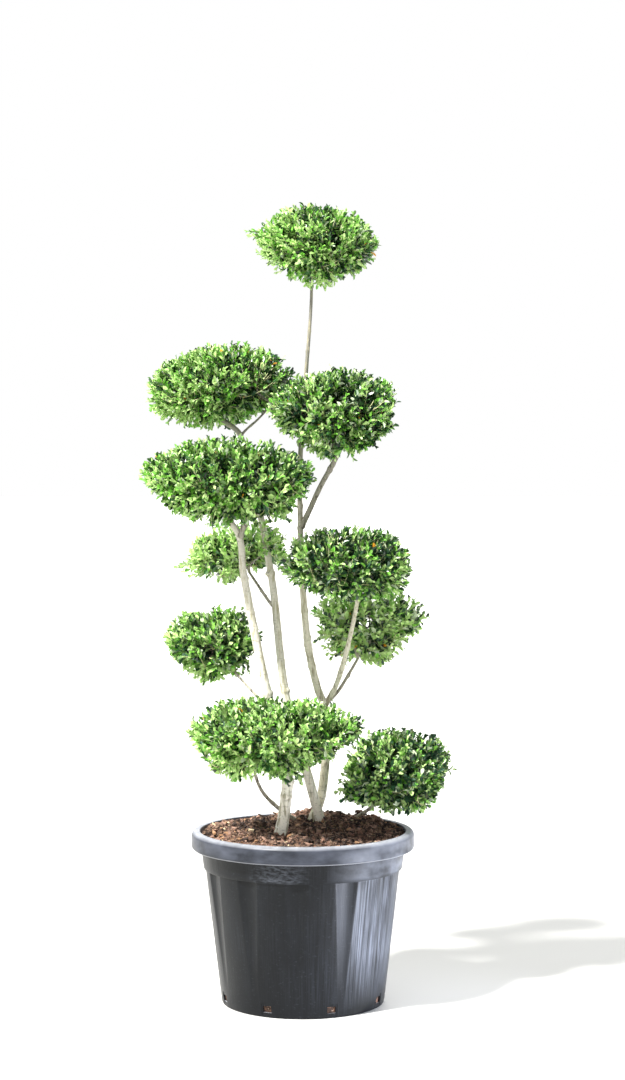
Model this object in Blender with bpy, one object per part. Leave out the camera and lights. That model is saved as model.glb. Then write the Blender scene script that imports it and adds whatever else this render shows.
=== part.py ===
"""Cloud-pruned privet with three stems, standing in a round nursery pot.

Frame: metres, +Z up. The origin is the centre of the pot's flat underside, which
stands on the ground. +X points to the right and -Y to the front.

The pot is a fluted tub with drain holes round its foot, filled with potting soil.
Three stems and two basal shoots stand in shallow pockets in the soil. Each bough
springs from a stem and carries one clipped cloud of foliage. Every sub-part is one
closed solid, and it keeps FIT_GAP to the pieces that it touches.
"""

import math
import random
from dataclasses import dataclass

import bmesh
import bpy
from mathutils import Vector

# ---- fits ------------------------------------------------------------------------
FIT_GAP = 0.0003
SOIL_GAP = 0.0005

# ---- pot -------------------------------------------------------------------------
POT_HEIGHT = 0.375
POT_BASE_RADIUS = 0.177
POT_NECK_RADIUS = 0.2125
POT_NECK_HEIGHT = 0.2935
POT_WALL = 0.004
POT_FLOOR = 0.004
FOOT_BEVEL = 0.003
COLLAR_STEP = 0.0005
COLLAR_LOW_RADIUS = 0.2165
COLLAR_TOP_RADIUS = 0.222
COLLAR_TOP_HEIGHT = 0.3365
RIM_RADIUS = 0.2425
RIM_MOUTH_RADIUS = 0.224
RIM_ROUND = 0.0105
RIM_UNDERCUT = 0.006
POT_SEGMENTS = 48

FLUTE_COUNT = 12
FLUTE_DEPTH = 0.006
FLUTE_TOP_HEIGHT = 0.2900
FLUTE_FADE_HEIGHT = 0.040
FIRST_FLUTE_DEG = -93.7

DRAIN_COUNT = 8
DRAIN_FIRST_DEG = -70.0
DRAIN_PANEL_WIDTH = 0.025
DRAIN_PANEL_TOP = 0.031
DRAIN_PANEL_DEPTH = 0.0012
DRAIN_HOLE_WIDTH = 0.019
DRAIN_HOLE_FOOT = 0.011
DRAIN_HOLE_TOP = 0.025
DRAIN_CUT_INSET = 0.008
DRAIN_CUT_REACH = 0.012
DRAIN_CUT_BELOW = 0.002

# ---- potting soil ----------------------------------------------------------------
SOIL_EDGE_HEIGHT = 0.3665
SOIL_MOUND_RISE = 0.0145
SOIL_MOUND_SPREAD = 0.150
SOIL_MOUND_CENTRE = (0.060, 0.100)
SOIL_LUMP = 0.0022
SOIL_LUMP_PITCH = 0.085
SOIL_LUMP_STRETCH = 0.8
SOIL_LUMP_PHASES = (0.7, 1.9)
SOIL_LEVEL_POWER = 6
SOIL_TOP_RINGS = 4
POCKET_SINK = 0.002
POCKET_MARGIN = 0.003
POCKET_SEGMENTS = 24

# ---- limbs -----------------------------------------------------------------------
STEM_SIDES = 10
BOUGH_SIDES = 8
STEM_STEP = 0.050
BOUGH_STEP = 0.030
FLARE_REACH = 0.022

# ---- clouds ----------------------------------------------------------------------
CLOUD_SEGMENTS = 18
CLOUD_RINGS = 8
CLOUD_LUMP = 0.05
CLOUD_WAVES = ((2, 0.40, 1.0), (3, 0.35, -2.0), (5, 0.25, 3.0))
DEPTH_POWER = 2.05
CLOUD_SEED = 7

# ---- finishes --------------------------------------------------------------------
SMOOTH_ANGLE_DEG = 40.0
POT_COLOUR = (0.045, 0.050, 0.058, 1.0)
POT_ROUGHNESS = 0.45
SOIL_COLOUR = (0.055, 0.025, 0.018, 1.0)
SOIL_ROUGHNESS = 0.95
BARK_COLOUR = (0.480, 0.430, 0.310, 1.0)
BARK_ROUGHNESS = 0.75
LEAF_COLOUR = (0.150, 0.330, 0.060, 1.0)
LEAF_ROUGHNESS = 0.55


@dataclass(frozen=True)
class Limb:
    """One tapering stem, bough or shoot.

    way holds the points that its centre line runs through, from its foot to its tip.
    foot and tip are its diameters there, and flare widens the foot by that factor.
    parents names the limbs at the fork that it springs from; without one it stands in
    the soil.
    """

    name: str
    way: tuple
    foot: float
    tip: float
    flare: float = 1.0
    parents: tuple = ()
    sides: int = BOUGH_SIDES
    step: float = BOUGH_STEP


@dataclass(frozen=True)
class Cloud:
    """One clipped mass of foliage, given by its outline as seen from the front.

    centre is where its reaches start. right, top, left and bottom are those reaches.
    Each quarter of the outline between them is a superellipse, and corners holds its
    power: upper right, upper left, lower left and lower right. A power of 1 is a
    straight slope, 2 an ellipse, and more a squarer shoulder. depth is its full size
    along Y. limbs are those that grow into it or pass through it.
    """

    name: str
    centre: tuple
    right: float
    top: float
    left: float
    bottom: float
    corners: tuple
    depth: float
    limbs: tuple


STEMS = (
    Limb(
        "stem_left",
        (
            (-0.048, -0.060, 0.000),
            (-0.036, -0.060, 0.455),
            (-0.034, -0.057, 0.500),
            (-0.074, -0.050, 0.668),
            (-0.103, -0.051, 0.804),
            (-0.128, -0.056, 0.942),
            (-0.136, -0.064, 1.015),
            (-0.172, -0.085, 1.071),
        ),
        foot=0.0262,
        tip=0.0125,
        flare=1.15,
        sides=STEM_SIDES,
        step=STEM_STEP,
    ),
    Limb(
        "stem_middle",
        (
            (0.043, 0.075, 0.000),
            (0.017, 0.066, 0.460),
            (-0.037, 0.050, 0.658),
            (-0.072, 0.070, 0.936),
            (-0.137, 0.088, 1.231),
            (-0.184, 0.094, 1.272),
        ),
        foot=0.0215,
        tip=0.0120,
        flare=1.20,
        sides=STEM_SIDES,
        step=STEM_STEP,
    ),
    Limb(
        "stem_right",
        (
            (0.020, 0.101, 0.000),
            (0.042, 0.097, 0.442),
            (0.051, 0.066, 0.618),
            (0.031, 0.056, 0.681),
            (0.011, 0.046, 0.774),
            (-0.002, 0.035, 0.928),
            (-0.006, 0.022, 1.045),
            (-0.006, -0.003, 1.180),
            (0.007, -0.018, 1.370),
            (0.017, 0.000, 1.504),
            (0.020, 0.000, 1.607),
        ),
        foot=0.0205,
        tip=0.0055,
        flare=1.25,
        sides=STEM_SIDES,
        step=STEM_STEP,
    ),
)

BOUGHS = (
    Limb(
        "bough_middle_left",
        (
            (-0.136, -0.064, 1.015),
            (-0.125, -0.072, 1.041),
            (-0.110, -0.090, 1.078),
        ),
        foot=0.0125,
        tip=0.0090,
        parents=("stem_left",),
    ),
    Limb(
        "bough_lower_left",
        (
            (-0.069, -0.051, 0.640),
            (-0.099, -0.035, 0.669),
            (-0.130, -0.008, 0.699),
            (-0.164, 0.028, 0.732),
        ),
        foot=0.0062,
        tip=0.0050,
        parents=("stem_left",),
    ),
    Limb(
        "bough_back_left",
        (
            (-0.063, 0.061, 0.857),
            (-0.073, 0.066, 0.866),
            (-0.098, 0.100, 0.899),
            (-0.121, 0.150, 0.929),
        ),
        foot=0.0075,
        tip=0.0055,
        parents=("stem_middle",),
    ),
    Limb(
        "bough_upper_left",
        (
            (-0.138, 0.088, 1.233),
            (-0.124, 0.086, 1.248),
            (-0.100, 0.083, 1.269),
            (-0.073, 0.080, 1.298),
        ),
        foot=0.0056,
        tip=0.0042,
        parents=("stem_middle",),
    ),
    Limb(
        "bough_upper_right",
        (
            (-0.004, 0.024, 1.034),
            (0.010, 0.012, 1.062),
            (0.039, -0.015, 1.125),
            (0.065, -0.038, 1.172),
            (0.082, -0.054, 1.206),
        ),
        foot=0.0125,
        tip=0.0100,
        parents=("stem_right",),
    ),
    Limb(
        "bough_middle_right",
        (
            (0.050, 0.060, 0.643),
            (0.070, 0.048, 0.679),
            (0.090, 0.010, 0.746),
            (0.108, -0.034, 0.826),
            (0.120, -0.072, 0.898),
        ),
        foot=0.0115,
        tip=0.0085,
        parents=("stem_right",),
    ),
    Limb(
        "bough_back_right",
        (
            (0.054, 0.062, 0.646),
            (0.077, 0.066, 0.670),
            (0.099, 0.082, 0.703),
            (0.122, 0.104, 0.740),
        ),
        foot=0.0080,
        tip=0.0062,
        parents=("stem_right", "bough_middle_right"),
    ),
)

SHOOTS = (
    Limb(
        "shoot_front",
        (
            (-0.012, 0.072, 0.000),
            (-0.054, 0.034, 0.416),
            (-0.080, 0.014, 0.444),
            (-0.095, -0.010, 0.471),
            (-0.110, -0.050, 0.523),
        ),
        foot=0.0096,
        tip=0.0066,
        flare=1.15,
    ),
    Limb(
        "shoot_lower_right",
        (
            (0.115, 0.130, 0.000),
            (0.1315, 0.1165, 0.3905),
            (0.158, 0.090, 0.4145),
            (0.185, 0.066, 0.445),
        ),
        foot=0.0088,
        tip=0.0068,
        flare=1.15,
    ),
)

CLOUDS = (
    Cloud(
        "cloud_top",
        (0.028, 0.000, 1.648),
        right=0.134,
        top=0.082,
        left=0.130,
        bottom=0.106,
        corners=(1.7, 1.9, 1.55, 1.7),
        depth=0.235,
        limbs=("stem_right",),
    ),
    Cloud(
        "cloud_upper_left",
        (-0.179, 0.100, 1.339),
        right=0.159,
        top=0.097,
        left=0.161,
        bottom=0.095,
        corners=(2.6, 1.65, 2.3, 1.15),
        depth=0.250,
        limbs=("stem_middle", "bough_upper_left"),
    ),
    Cloud(
        "cloud_upper_right",
        (0.065, -0.060, 1.283),
        right=0.137,
        top=0.088,
        left=0.143,
        bottom=0.113,
        corners=(2.8, 2.05, 1.35, 2.1),
        depth=0.230,
        limbs=("stem_right", "bough_upper_right"),
    ),
    Cloud(
        "cloud_middle_left",
        (-0.163, -0.090, 1.137),
        right=0.187,
        top=0.092,
        left=0.181,
        bottom=0.102,
        corners=(1.85, 1.9, 1.65, 2.1),
        depth=0.270,
        limbs=("stem_left", "bough_middle_left"),
    ),
    Cloud(
        "cloud_back_left",
        (-0.152, 0.185, 0.963),
        right=0.113,
        top=0.074,
        left=0.110,
        bottom=0.068,
        corners=(3.0, 1.6, 2.6, 1.2),
        depth=0.180,
        limbs=("bough_back_left",),
    ),
    Cloud(
        "cloud_middle_right",
        (0.094, -0.080, 0.962),
        right=0.137,
        top=0.073,
        left=0.139,
        bottom=0.088,
        corners=(2.0, 3.2, 2.0, 2.5),
        depth=0.230,
        limbs=("bough_middle_right",),
    ),
    Cloud(
        "cloud_back_right",
        (0.149, 0.125, 0.819),
        right=0.127,
        top=0.080,
        left=0.129,
        bottom=0.116,
        corners=(2.0, 2.2, 2.0, 1.3),
        depth=0.205,
        limbs=("bough_back_right",),
    ),
    Cloud(
        "cloud_lower_left",
        (-0.202, 0.045, 0.774),
        right=0.107,
        top=0.079,
        left=0.099,
        bottom=0.079,
        corners=(2.6, 2.4, 1.7, 2.1),
        depth=0.175,
        limbs=("bough_lower_left",),
    ),
    Cloud(
        "cloud_front",
        (-0.057, -0.110, 0.593),
        right=0.187,
        top=0.081,
        left=0.189,
        bottom=0.098,
        corners=(2.2, 2.4, 2.2, 1.2),
        depth=0.270,
        limbs=("stem_left", "bough_lower_left", "shoot_front"),
    ),
    Cloud(
        "cloud_lower_right",
        (0.204, 0.050, 0.494),
        right=0.117,
        top=0.092,
        left=0.128,
        bottom=0.095,
        corners=(3.0, 2.0, 2.6, 2.4),
        depth=0.205,
        limbs=("shoot_lower_right",),
    ),
)


# ---- Blender helpers -------------------------------------------------------------
def clear_scene():
    """Remove every object that the scene starts with."""
    for item in list(bpy.data.objects):
        bpy.data.objects.remove(item, do_unlink=True)


def make_material(name, colour, roughness):
    """Return a Principled material of one colour."""
    material = bpy.data.materials.new(name)
    material.use_nodes = True
    shader = material.node_tree.nodes["Principled BSDF"]
    shader.inputs["Base Color"].default_value = colour
    shader.inputs["Roughness"].default_value = roughness
    shader.inputs["Metallic"].default_value = 0.0
    return material


def mesh_object(name, points, faces, material=None):
    """Return a new scene object made of points and faces, with its normals facing out."""
    mesh = bpy.data.meshes.new(name)
    shape = bmesh.new()
    corners = [shape.verts.new(point) for point in points]
    for face in faces:
        shape.faces.new([corners[index] for index in face])
    bmesh.ops.recalc_face_normals(shape, faces=shape.faces)
    shape.to_mesh(mesh)
    shape.free()
    item = bpy.data.objects.new(name, mesh)
    bpy.context.collection.objects.link(item)
    if material is not None:
        mesh.materials.append(material)
        mesh.shade_smooth()
        mesh.set_sharp_from_angle(angle=math.radians(SMOOTH_ANGLE_DEG))
    return item


def cutter_object(name, points, faces):
    """Return a wire object that only serves to cut others."""
    item = mesh_object(name, points, faces)
    item.hide_render = True
    item.display_type = "WIRE"
    return item


def cut(item, cutter):
    """Take the cutter's volume away from the item."""
    boolean = item.modifiers.new("cut " + cutter.name, "BOOLEAN")
    boolean.operation = "DIFFERENCE"
    boolean.solver = "EXACT"
    boolean.object = cutter


def lathe_faces(rings, segments, first_pole, last_pole):
    """Return the faces of stacked rings, closed at both ends.

    The points are the rings in order, then the first pole's point and the last
    pole's, for the ends that have one. An end without a pole gets one flat face.
    The sides are triangles that all split the same way, so that two walls made ring
    for ring alike stay parallel where they are fluted.
    """
    faces = []
    for ring in range(rings - 1):
        for side in range(segments):
            follower = (side + 1) % segments
            low = ring * segments
            high = low + segments
            faces.append((low + side, low + follower, high + follower))
            faces.append((low + side, high + follower, high + side))
    last = (rings - 1) * segments
    pole = rings * segments
    if first_pole:
        faces += [((side + 1) % segments, side, pole) for side in range(segments)]
        pole += 1
    else:
        faces.append(tuple(reversed(range(segments))))
    if last_pole:
        faces += [(last + side, last + (side + 1) % segments, pole) for side in range(segments)]
    else:
        faces.append(tuple(last + side for side in range(segments)))
    return faces


# ---- pot and soil ----------------------------------------------------------------
def body_radius(height):
    """Return the outer radius of the pot's plain conical body at a height."""
    return POT_BASE_RADIUS + (POT_NECK_RADIUS - POT_BASE_RADIUS) * height / POT_NECK_HEIGHT


def flute_depth(height):
    """Return how far a flute's bottom lies inside the cone at a height."""
    if height > FLUTE_TOP_HEIGHT + 2.0 * SOIL_GAP or height < FLUTE_FADE_HEIGHT:
        return 0.0
    return FLUTE_DEPTH * (height - FLUTE_FADE_HEIGHT) / (FLUTE_TOP_HEIGHT - FLUTE_FADE_HEIGHT)


def pot_ring(radius, height):
    """Return one ring of the pot or the soil, pulled in at each flute."""
    ring = []
    every = POT_SEGMENTS // FLUTE_COUNT
    for side in range(POT_SEGMENTS):
        angle = math.radians(FIRST_FLUTE_DEG) + math.tau * side / POT_SEGMENTS
        reach = radius - (flute_depth(height) if side % every == 0 else 0.0)
        ring.append((reach * math.cos(angle), reach * math.sin(angle), height))
    return ring


def inner_profile():
    """Return the pot's inner outline from the floor to the mouth, as radius and height."""
    return [
        (body_radius(POT_FLOOR) - POT_WALL, POT_FLOOR),
        (body_radius(FLUTE_FADE_HEIGHT) - POT_WALL, FLUTE_FADE_HEIGHT),
        (body_radius(FLUTE_TOP_HEIGHT) - POT_WALL, FLUTE_TOP_HEIGHT),
        (COLLAR_TOP_RADIUS - POT_WALL, COLLAR_TOP_HEIGHT),
        (RIM_MOUTH_RADIUS, POT_HEIGHT),
    ]


def outer_profile():
    """Return the pot's outer outline from the underside to the rim, as radius and height."""
    return [
        (POT_BASE_RADIUS - FOOT_BEVEL, 0.0),
        (body_radius(FOOT_BEVEL), FOOT_BEVEL),
        (body_radius(FLUTE_FADE_HEIGHT), FLUTE_FADE_HEIGHT),
        (body_radius(FLUTE_TOP_HEIGHT), FLUTE_TOP_HEIGHT),
        (POT_NECK_RADIUS, POT_NECK_HEIGHT),
        (COLLAR_LOW_RADIUS, POT_NECK_HEIGHT + COLLAR_STEP),
        (COLLAR_TOP_RADIUS, COLLAR_TOP_HEIGHT),
        (RIM_RADIUS - RIM_UNDERCUT, COLLAR_TOP_HEIGHT),
        (RIM_RADIUS, COLLAR_TOP_HEIGHT + RIM_UNDERCUT),
        (RIM_RADIUS, POT_HEIGHT - RIM_ROUND),
        (RIM_RADIUS - RIM_ROUND, POT_HEIGHT),
    ]


def radial_boxes(name, width, heights, inset):
    """Return a cutter with one block at each drain hole, leaning with the pot's wall.

    heights are the block's foot and top, and inset is how far it bites in from the
    wall's outside.
    """
    points = []
    faces = []
    for number in range(DRAIN_COUNT):
        angle = math.radians(DRAIN_FIRST_DEG) + math.tau * number / DRAIN_COUNT
        outward = Vector((math.cos(angle), math.sin(angle), 0.0))
        sideways = Vector((-math.sin(angle), math.cos(angle), 0.0))
        start = len(points)
        for height in heights:
            radius = body_radius(height)
            inner, outer = radius - inset, radius + DRAIN_CUT_REACH
            for distance, side in ((inner, -0.5), (inner, 0.5), (outer, 0.5), (outer, -0.5)):
                place = outward * distance + sideways * (side * width)
                points.append((place.x, place.y, height))
        quads = ((0, 1, 2, 3), (4, 7, 6, 5), (0, 4, 5, 1), (1, 5, 6, 2), (2, 6, 7, 3), (3, 7, 4, 0))
        faces += [tuple(start + corner for corner in quad) for quad in quads]
    return cutter_object(name, points, faces)


def build_pot(material):
    """Build the fluted pot with its collar, rolled rim and drain holes."""
    rings = outer_profile() + list(reversed(inner_profile()))
    points = [point for radius, height in rings for point in pot_ring(radius, height)]
    points += [(0.0, 0.0, 0.0), (0.0, 0.0, POT_FLOOR)]
    pot = mesh_object("pot", points, lathe_faces(len(rings), POT_SEGMENTS, True, True), material)
    panel_heights = (-DRAIN_CUT_BELOW, DRAIN_PANEL_TOP)
    hole_heights = (DRAIN_HOLE_FOOT, DRAIN_HOLE_TOP)
    cut(pot, radial_boxes("drain_panels", DRAIN_PANEL_WIDTH, panel_heights, DRAIN_PANEL_DEPTH))
    cut(pot, radial_boxes("drain_holes", DRAIN_HOLE_WIDTH, hole_heights, DRAIN_CUT_INSET))
    return pot


def soil_height(x, y):
    """Return the height of the soil's surface: an off-centre mound with low lumps.

    The mound is a Gaussian bump and the lumps are a product of two sines. Both fade
    out towards the pot's wall, where the soil is level.
    """
    away = math.hypot(x - SOIL_MOUND_CENTRE[0], y - SOIL_MOUND_CENTRE[1])
    mound = SOIL_MOUND_RISE * math.exp(-((away / SOIL_MOUND_SPREAD) ** 2))
    wave = math.tau / SOIL_LUMP_PITCH
    lump = SOIL_LUMP * math.sin(wave * x + SOIL_LUMP_PHASES[0])
    lump *= math.sin(SOIL_LUMP_STRETCH * wave * y + SOIL_LUMP_PHASES[1])
    inside = 1.0 - (math.hypot(x, y) / RIM_MOUTH_RADIUS) ** SOIL_LEVEL_POWER
    return SOIL_EDGE_HEIGHT + (mound + lump) * max(inside, 0.0)


def foot_height(limb):
    """Return the height of the flat cut that a stem or a shoot stands on."""
    x, y, _ = limb.way[0]
    return soil_height(x, y) - POCKET_SINK


def build_soil(material, rooted):
    """Build the soil that fills the pot, with a flat pocket for each rooted limb."""
    wall = [(radius - SOIL_GAP, height + SOIL_GAP) for radius, height in inner_profile()[:-1]]
    low_radius, low_height = wall[-1]
    slope = (RIM_MOUTH_RADIUS - COLLAR_TOP_RADIUS + POT_WALL) / (POT_HEIGHT - COLLAR_TOP_HEIGHT)
    edge_radius = low_radius + slope * (SOIL_EDGE_HEIGHT - low_height)
    points = []
    for number in range(SOIL_TOP_RINGS - 1, 0, -1):
        radius = edge_radius * (1.0 - number / SOIL_TOP_RINGS)
        points += [(x, y, soil_height(x, y)) for x, y, _ in pot_ring(radius, SOIL_EDGE_HEIGHT)]
    rings = [(edge_radius, SOIL_EDGE_HEIGHT)] + list(reversed(wall))
    points += [point for radius, height in rings for point in pot_ring(radius, height)]
    points += [(0.0, 0.0, soil_height(0.0, 0.0)), (0.0, 0.0, wall[0][1])]
    count = len(rings) + SOIL_TOP_RINGS - 1
    soil = mesh_object("soil", points, lathe_faces(count, POT_SEGMENTS, True, True), material)
    for limb in rooted:
        x, y, _ = limb.way[0]
        floor = foot_height(limb) - FIT_GAP
        radius = 0.5 * limb.foot * limb.flare + POCKET_MARGIN
        circle = [math.tau * side / POCKET_SEGMENTS for side in range(POCKET_SEGMENTS)]
        corners = [
            (x + radius * math.cos(angle), y + radius * math.sin(angle), height)
            for height in (floor, POT_HEIGHT + SOIL_MOUND_RISE)
            for angle in circle
        ]
        faces = lathe_faces(2, POCKET_SEGMENTS, False, False)
        cut(soil, cutter_object("pocket_" + limb.name, corners, faces))
    return soil


# ---- limbs -----------------------------------------------------------------------
def smooth_way(limb):
    """Return evenly spread points on the smooth curve through a limb's way points.

    The curve is a Catmull-Rom spline with chord-length knots. A rooted limb starts on
    its own foot height.
    """
    way = [Vector(point) for point in limb.way]
    if not limb.parents:
        way[0].z = foot_height(limb)
    way = [2.0 * way[0] - way[1]] + way + [2.0 * way[-1] - way[-2]]
    curve = []
    for before, start, end, after in zip(way, way[1:], way[2:], way[3:]):
        span = (end - start).length
        leave = (end - before) * (span / ((start - before).length + span))
        arrive = (after - start) * (span / (span + (after - end).length))
        count = max(1, round(span / limb.step))
        for number in range(count):
            t = number / count
            curve.append(
                start * (2 * t**3 - 3 * t**2 + 1)
                + leave * (t**3 - 2 * t**2 + t)
                + end * (3 * t**2 - 2 * t**3)
                + arrive * (t**3 - t**2)
            )
    curve.append(way[-2])
    return curve


def limb_rings(limb, grow):
    """Return the centre, direction and radius of each cross-section of a limb.

    grow widens the limb all round and lengthens both its ends, for cutting others.
    """
    line = smooth_way(limb)
    travelled = [0.0]
    for start, end in zip(line, line[1:]):
        travelled.append(travelled[-1] + (end - start).length)
    sections = []
    for number, centre in enumerate(line):
        ahead = line[min(number + 1, len(line) - 1)]
        behind = line[max(number - 1, 0)]
        direction = (ahead - behind).normalized()
        if number == 0 and not limb.parents:
            direction = Vector((0.0, 0.0, 1.0))
        share = travelled[number] / travelled[-1]
        radius = 0.5 * (limb.foot + (limb.tip - limb.foot) * share)
        radius *= 1.0 + (limb.flare - 1.0) * math.exp(-travelled[number] / FLARE_REACH)
        sections.append([centre.copy(), direction, radius + grow])
    sections[0][0] -= sections[0][1] * grow
    sections[-1][0] += sections[-1][1] * grow
    return sections


def limb_shape(limb, grow=0.0):
    """Return the points and faces of a limb's tapering tube."""
    points = []
    sections = limb_rings(limb, grow)
    for centre, direction, radius in sections:
        across = Vector((0.0, 1.0, 0.0)).cross(direction).normalized()
        upright = direction.cross(across)
        for side in range(limb.sides):
            angle = math.tau * (side + 0.5) / limb.sides
            sideways = across * (radius * math.cos(angle))
            points.append(centre + sideways + upright * (radius * math.sin(angle)))
    return points, lathe_faces(len(sections), limb.sides, False, False)


def build_limbs(material):
    """Build every limb and return a wider cutter of each, by name."""
    cutters = {}
    for limb in STEMS + BOUGHS + SHOOTS:
        item = mesh_object(limb.name, *limb_shape(limb), material)
        for parent in limb.parents:
            cut(item, cutters[parent])
        cutters[limb.name] = cutter_object("round_" + limb.name, *limb_shape(limb, FIT_GAP))
    return cutters


# ---- foliage ---------------------------------------------------------------------
def outline_reach(cloud, clock):
    """Return how far a cloud's outline lies from its centre at an angle from +X to +Z.

    On a superellipse of half-sizes a and b, the distance at angle c is
    (|cos c / a|^p + |sin c / b|^p)^(-1/p).
    """
    across = math.cos(clock)
    upright = math.sin(clock)
    half_width = cloud.right if across >= 0.0 else cloud.left
    half_height = cloud.top if upright >= 0.0 else cloud.bottom
    quarter = (0 if across >= 0.0 else 1) if upright >= 0.0 else (2 if across < 0.0 else 3)
    power = cloud.corners[quarter]
    return (abs(across / half_width) ** power + abs(upright / half_height) ** power) ** (-1.0 / power)


def cloud_points(cloud, chance):
    """Return the rings of a cloud, stacked from front to back, and its two poles.

    Each ring is the outline shrunk by cos(t), at a depth that follows sin(t), both
    raised to two over DEPTH_POWER. Slow waves make the surface uneven: each of
    CLOUD_WAVES gives its number round the outline, its weight and its twist in depth.
    """
    phases = [chance.uniform(0.0, math.tau) for _ in CLOUD_WAVES]
    width = cloud.left + cloud.right
    height = cloud.top + cloud.bottom
    bend = 2.0 / DEPTH_POWER
    x, y, z = cloud.centre
    points = []
    for ring in range(1, CLOUD_RINGS):
        turn = math.pi * (ring / CLOUD_RINGS - 0.5)
        shrink = math.cos(turn) ** bend
        away = math.copysign(abs(math.sin(turn)) ** bend, turn) * 0.5 * cloud.depth
        for side in range(CLOUD_SEGMENTS):
            angle = math.tau * side / CLOUD_SEGMENTS
            clock = math.atan2(height * math.sin(angle), width * math.cos(angle))
            swell = sum(
                weight * math.sin(count * clock + phase + twist * turn)
                for (count, weight, twist), phase in zip(CLOUD_WAVES, phases)
            )
            reach = outline_reach(cloud, clock) * shrink * (1.0 + CLOUD_LUMP * swell)
            points.append((x + reach * math.cos(clock), y + away, z + reach * math.sin(clock)))
    return points + [(x, y - 0.5 * cloud.depth, z), (x, y + 0.5 * cloud.depth, z)]


def build_clouds(material, cutters):
    """Build each foliage mass, hollowed where limbs enter it or run through it."""
    chance = random.Random(CLOUD_SEED)
    for cloud in CLOUDS:
        faces = lathe_faces(CLOUD_RINGS - 1, CLOUD_SEGMENTS, True, True)
        item = mesh_object(cloud.name, cloud_points(cloud, chance), faces, material)
        for name in cloud.limbs:
            cut(item, cutters[name])


def main():
    """Build the whole plant and its pot."""
    clear_scene()
    build_pot(make_material("pot plastic", POT_COLOUR, POT_ROUGHNESS))
    build_soil(make_material("potting soil", SOIL_COLOUR, SOIL_ROUGHNESS), STEMS + SHOOTS)
    cutters = build_limbs(make_material("bark", BARK_COLOUR, BARK_ROUGHNESS))
    build_clouds(make_material("leaves", LEAF_COLOUR, LEAF_ROUGHNESS), cutters)


main()
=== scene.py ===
"""Looks of a cloud-pruned privet with three stems, standing in a round nursery pot.

Frame: metres, +Z up. The origin is the centre of the pot's flat underside, and -Y is
the front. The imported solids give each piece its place: the limbs follow the same ways
as the solid ones, and each foliage mass is filled out to the surface of its solid by
boughs, twigs and leaves that grow on from the limbs by a seeded branching rule.
"""

import logging
import math
from dataclasses import dataclass, field
from enum import IntEnum

import bpy
import numpy as np
from mathutils.bvhtree import BVHTree
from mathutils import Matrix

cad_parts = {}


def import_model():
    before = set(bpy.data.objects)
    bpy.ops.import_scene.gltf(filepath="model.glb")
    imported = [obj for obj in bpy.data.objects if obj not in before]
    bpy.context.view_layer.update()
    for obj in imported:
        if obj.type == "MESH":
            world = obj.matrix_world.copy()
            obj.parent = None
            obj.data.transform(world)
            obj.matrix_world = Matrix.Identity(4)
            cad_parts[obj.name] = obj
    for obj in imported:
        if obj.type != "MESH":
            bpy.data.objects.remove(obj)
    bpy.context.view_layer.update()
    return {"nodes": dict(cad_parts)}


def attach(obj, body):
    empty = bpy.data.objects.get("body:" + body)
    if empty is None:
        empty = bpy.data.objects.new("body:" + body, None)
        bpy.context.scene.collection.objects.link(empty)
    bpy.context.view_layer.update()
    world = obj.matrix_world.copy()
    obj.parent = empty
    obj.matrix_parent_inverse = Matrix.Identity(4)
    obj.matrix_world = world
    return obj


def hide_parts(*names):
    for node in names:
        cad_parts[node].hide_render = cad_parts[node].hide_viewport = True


LOG = logging.getLogger("topiary")
Array = np.ndarray
BODY = "root"
TINY = 1e-12
UP = np.array([0.0, 0.0, 1.0])
DEPTHWAYS = np.array([0.0, 1.0, 0.0])
SEED = 20


# ---- arrays ----------------------------------------------------------------------
def unit(vectors: Array) -> Array:
    """Return the vectors, each divided by its length."""
    return vectors / np.maximum(np.linalg.norm(vectors, axis=-1, keepdims=True), TINY)


def value_noise(points: Array, pitch: float, seed: int) -> Array:
    """Return smooth noise from -1 to 1 at each point.

    Every corner of a cubic lattice has a value hashed from its place and the seed, and a
    point takes the mean of its cell's eight corners, weighted by smooth steps.

    Args:
        points: places, with three numbers along the last axis.
        pitch: the lattice's spacing in metres.
        seed: another seed gives other values.

    Returns:
        One value for each point.
    """
    place = points / pitch
    cell = np.floor(place)
    part = place - cell
    part = part * part * (3.0 - 2.0 * part)
    cell = cell.astype(np.int64)
    total = np.zeros(points.shape[:-1])
    for corner in np.ndindex(2, 2, 2):
        key = (cell + np.array(corner)) * np.array([73856093, 19349663, 83492791])
        mixed = (key[..., 0] ^ key[..., 1] ^ key[..., 2]) + seed * 1013904223
        mixed = ((mixed ^ (mixed >> 15)) * 668265263) & 0x7FFFFFFF
        mixed = ((mixed ^ (mixed >> 12)) * 374761393) & 0x7FFFFFFF
        weight = np.prod(np.where(np.array(corner) == 1, part, 1.0 - part), axis=-1)
        total += weight * ((mixed >> 7) % 4096 / 2047.5 - 1.0)
    return total


def around(radius: Array | float, angle: Array, height: Array | float) -> Array:
    """Return the points at a radius, an angle and a height round the Z axis."""
    return np.stack([radius * np.cos(angle), radius * np.sin(angle), height + 0.0 * angle], axis=-1)


def closed_wall(rows: int, columns: int) -> Array:
    """Return the triangles of a closed turned shape.

    Its points are rows that wrap round, listed row by row, then the poles that close the
    first and the last row.
    """
    ring, follower = np.arange(columns), (np.arange(columns) + 1) % columns
    start = columns * np.arange(rows - 1)[:, None]
    low, low_next = start + ring, start + follower
    first = np.stack([low, low_next, low_next + columns], axis=-1)
    second = np.stack([low, low_next + columns, low + columns], axis=-1)
    pole = rows * columns
    foot = np.stack([follower, ring, np.full(columns, pole)], axis=-1)
    crest = np.stack([ring, follower, np.full(columns, columns + 1)], axis=-1) + pole - columns
    return np.concatenate([first.reshape(-1, 3), second.reshape(-1, 3), foot, crest])


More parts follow.
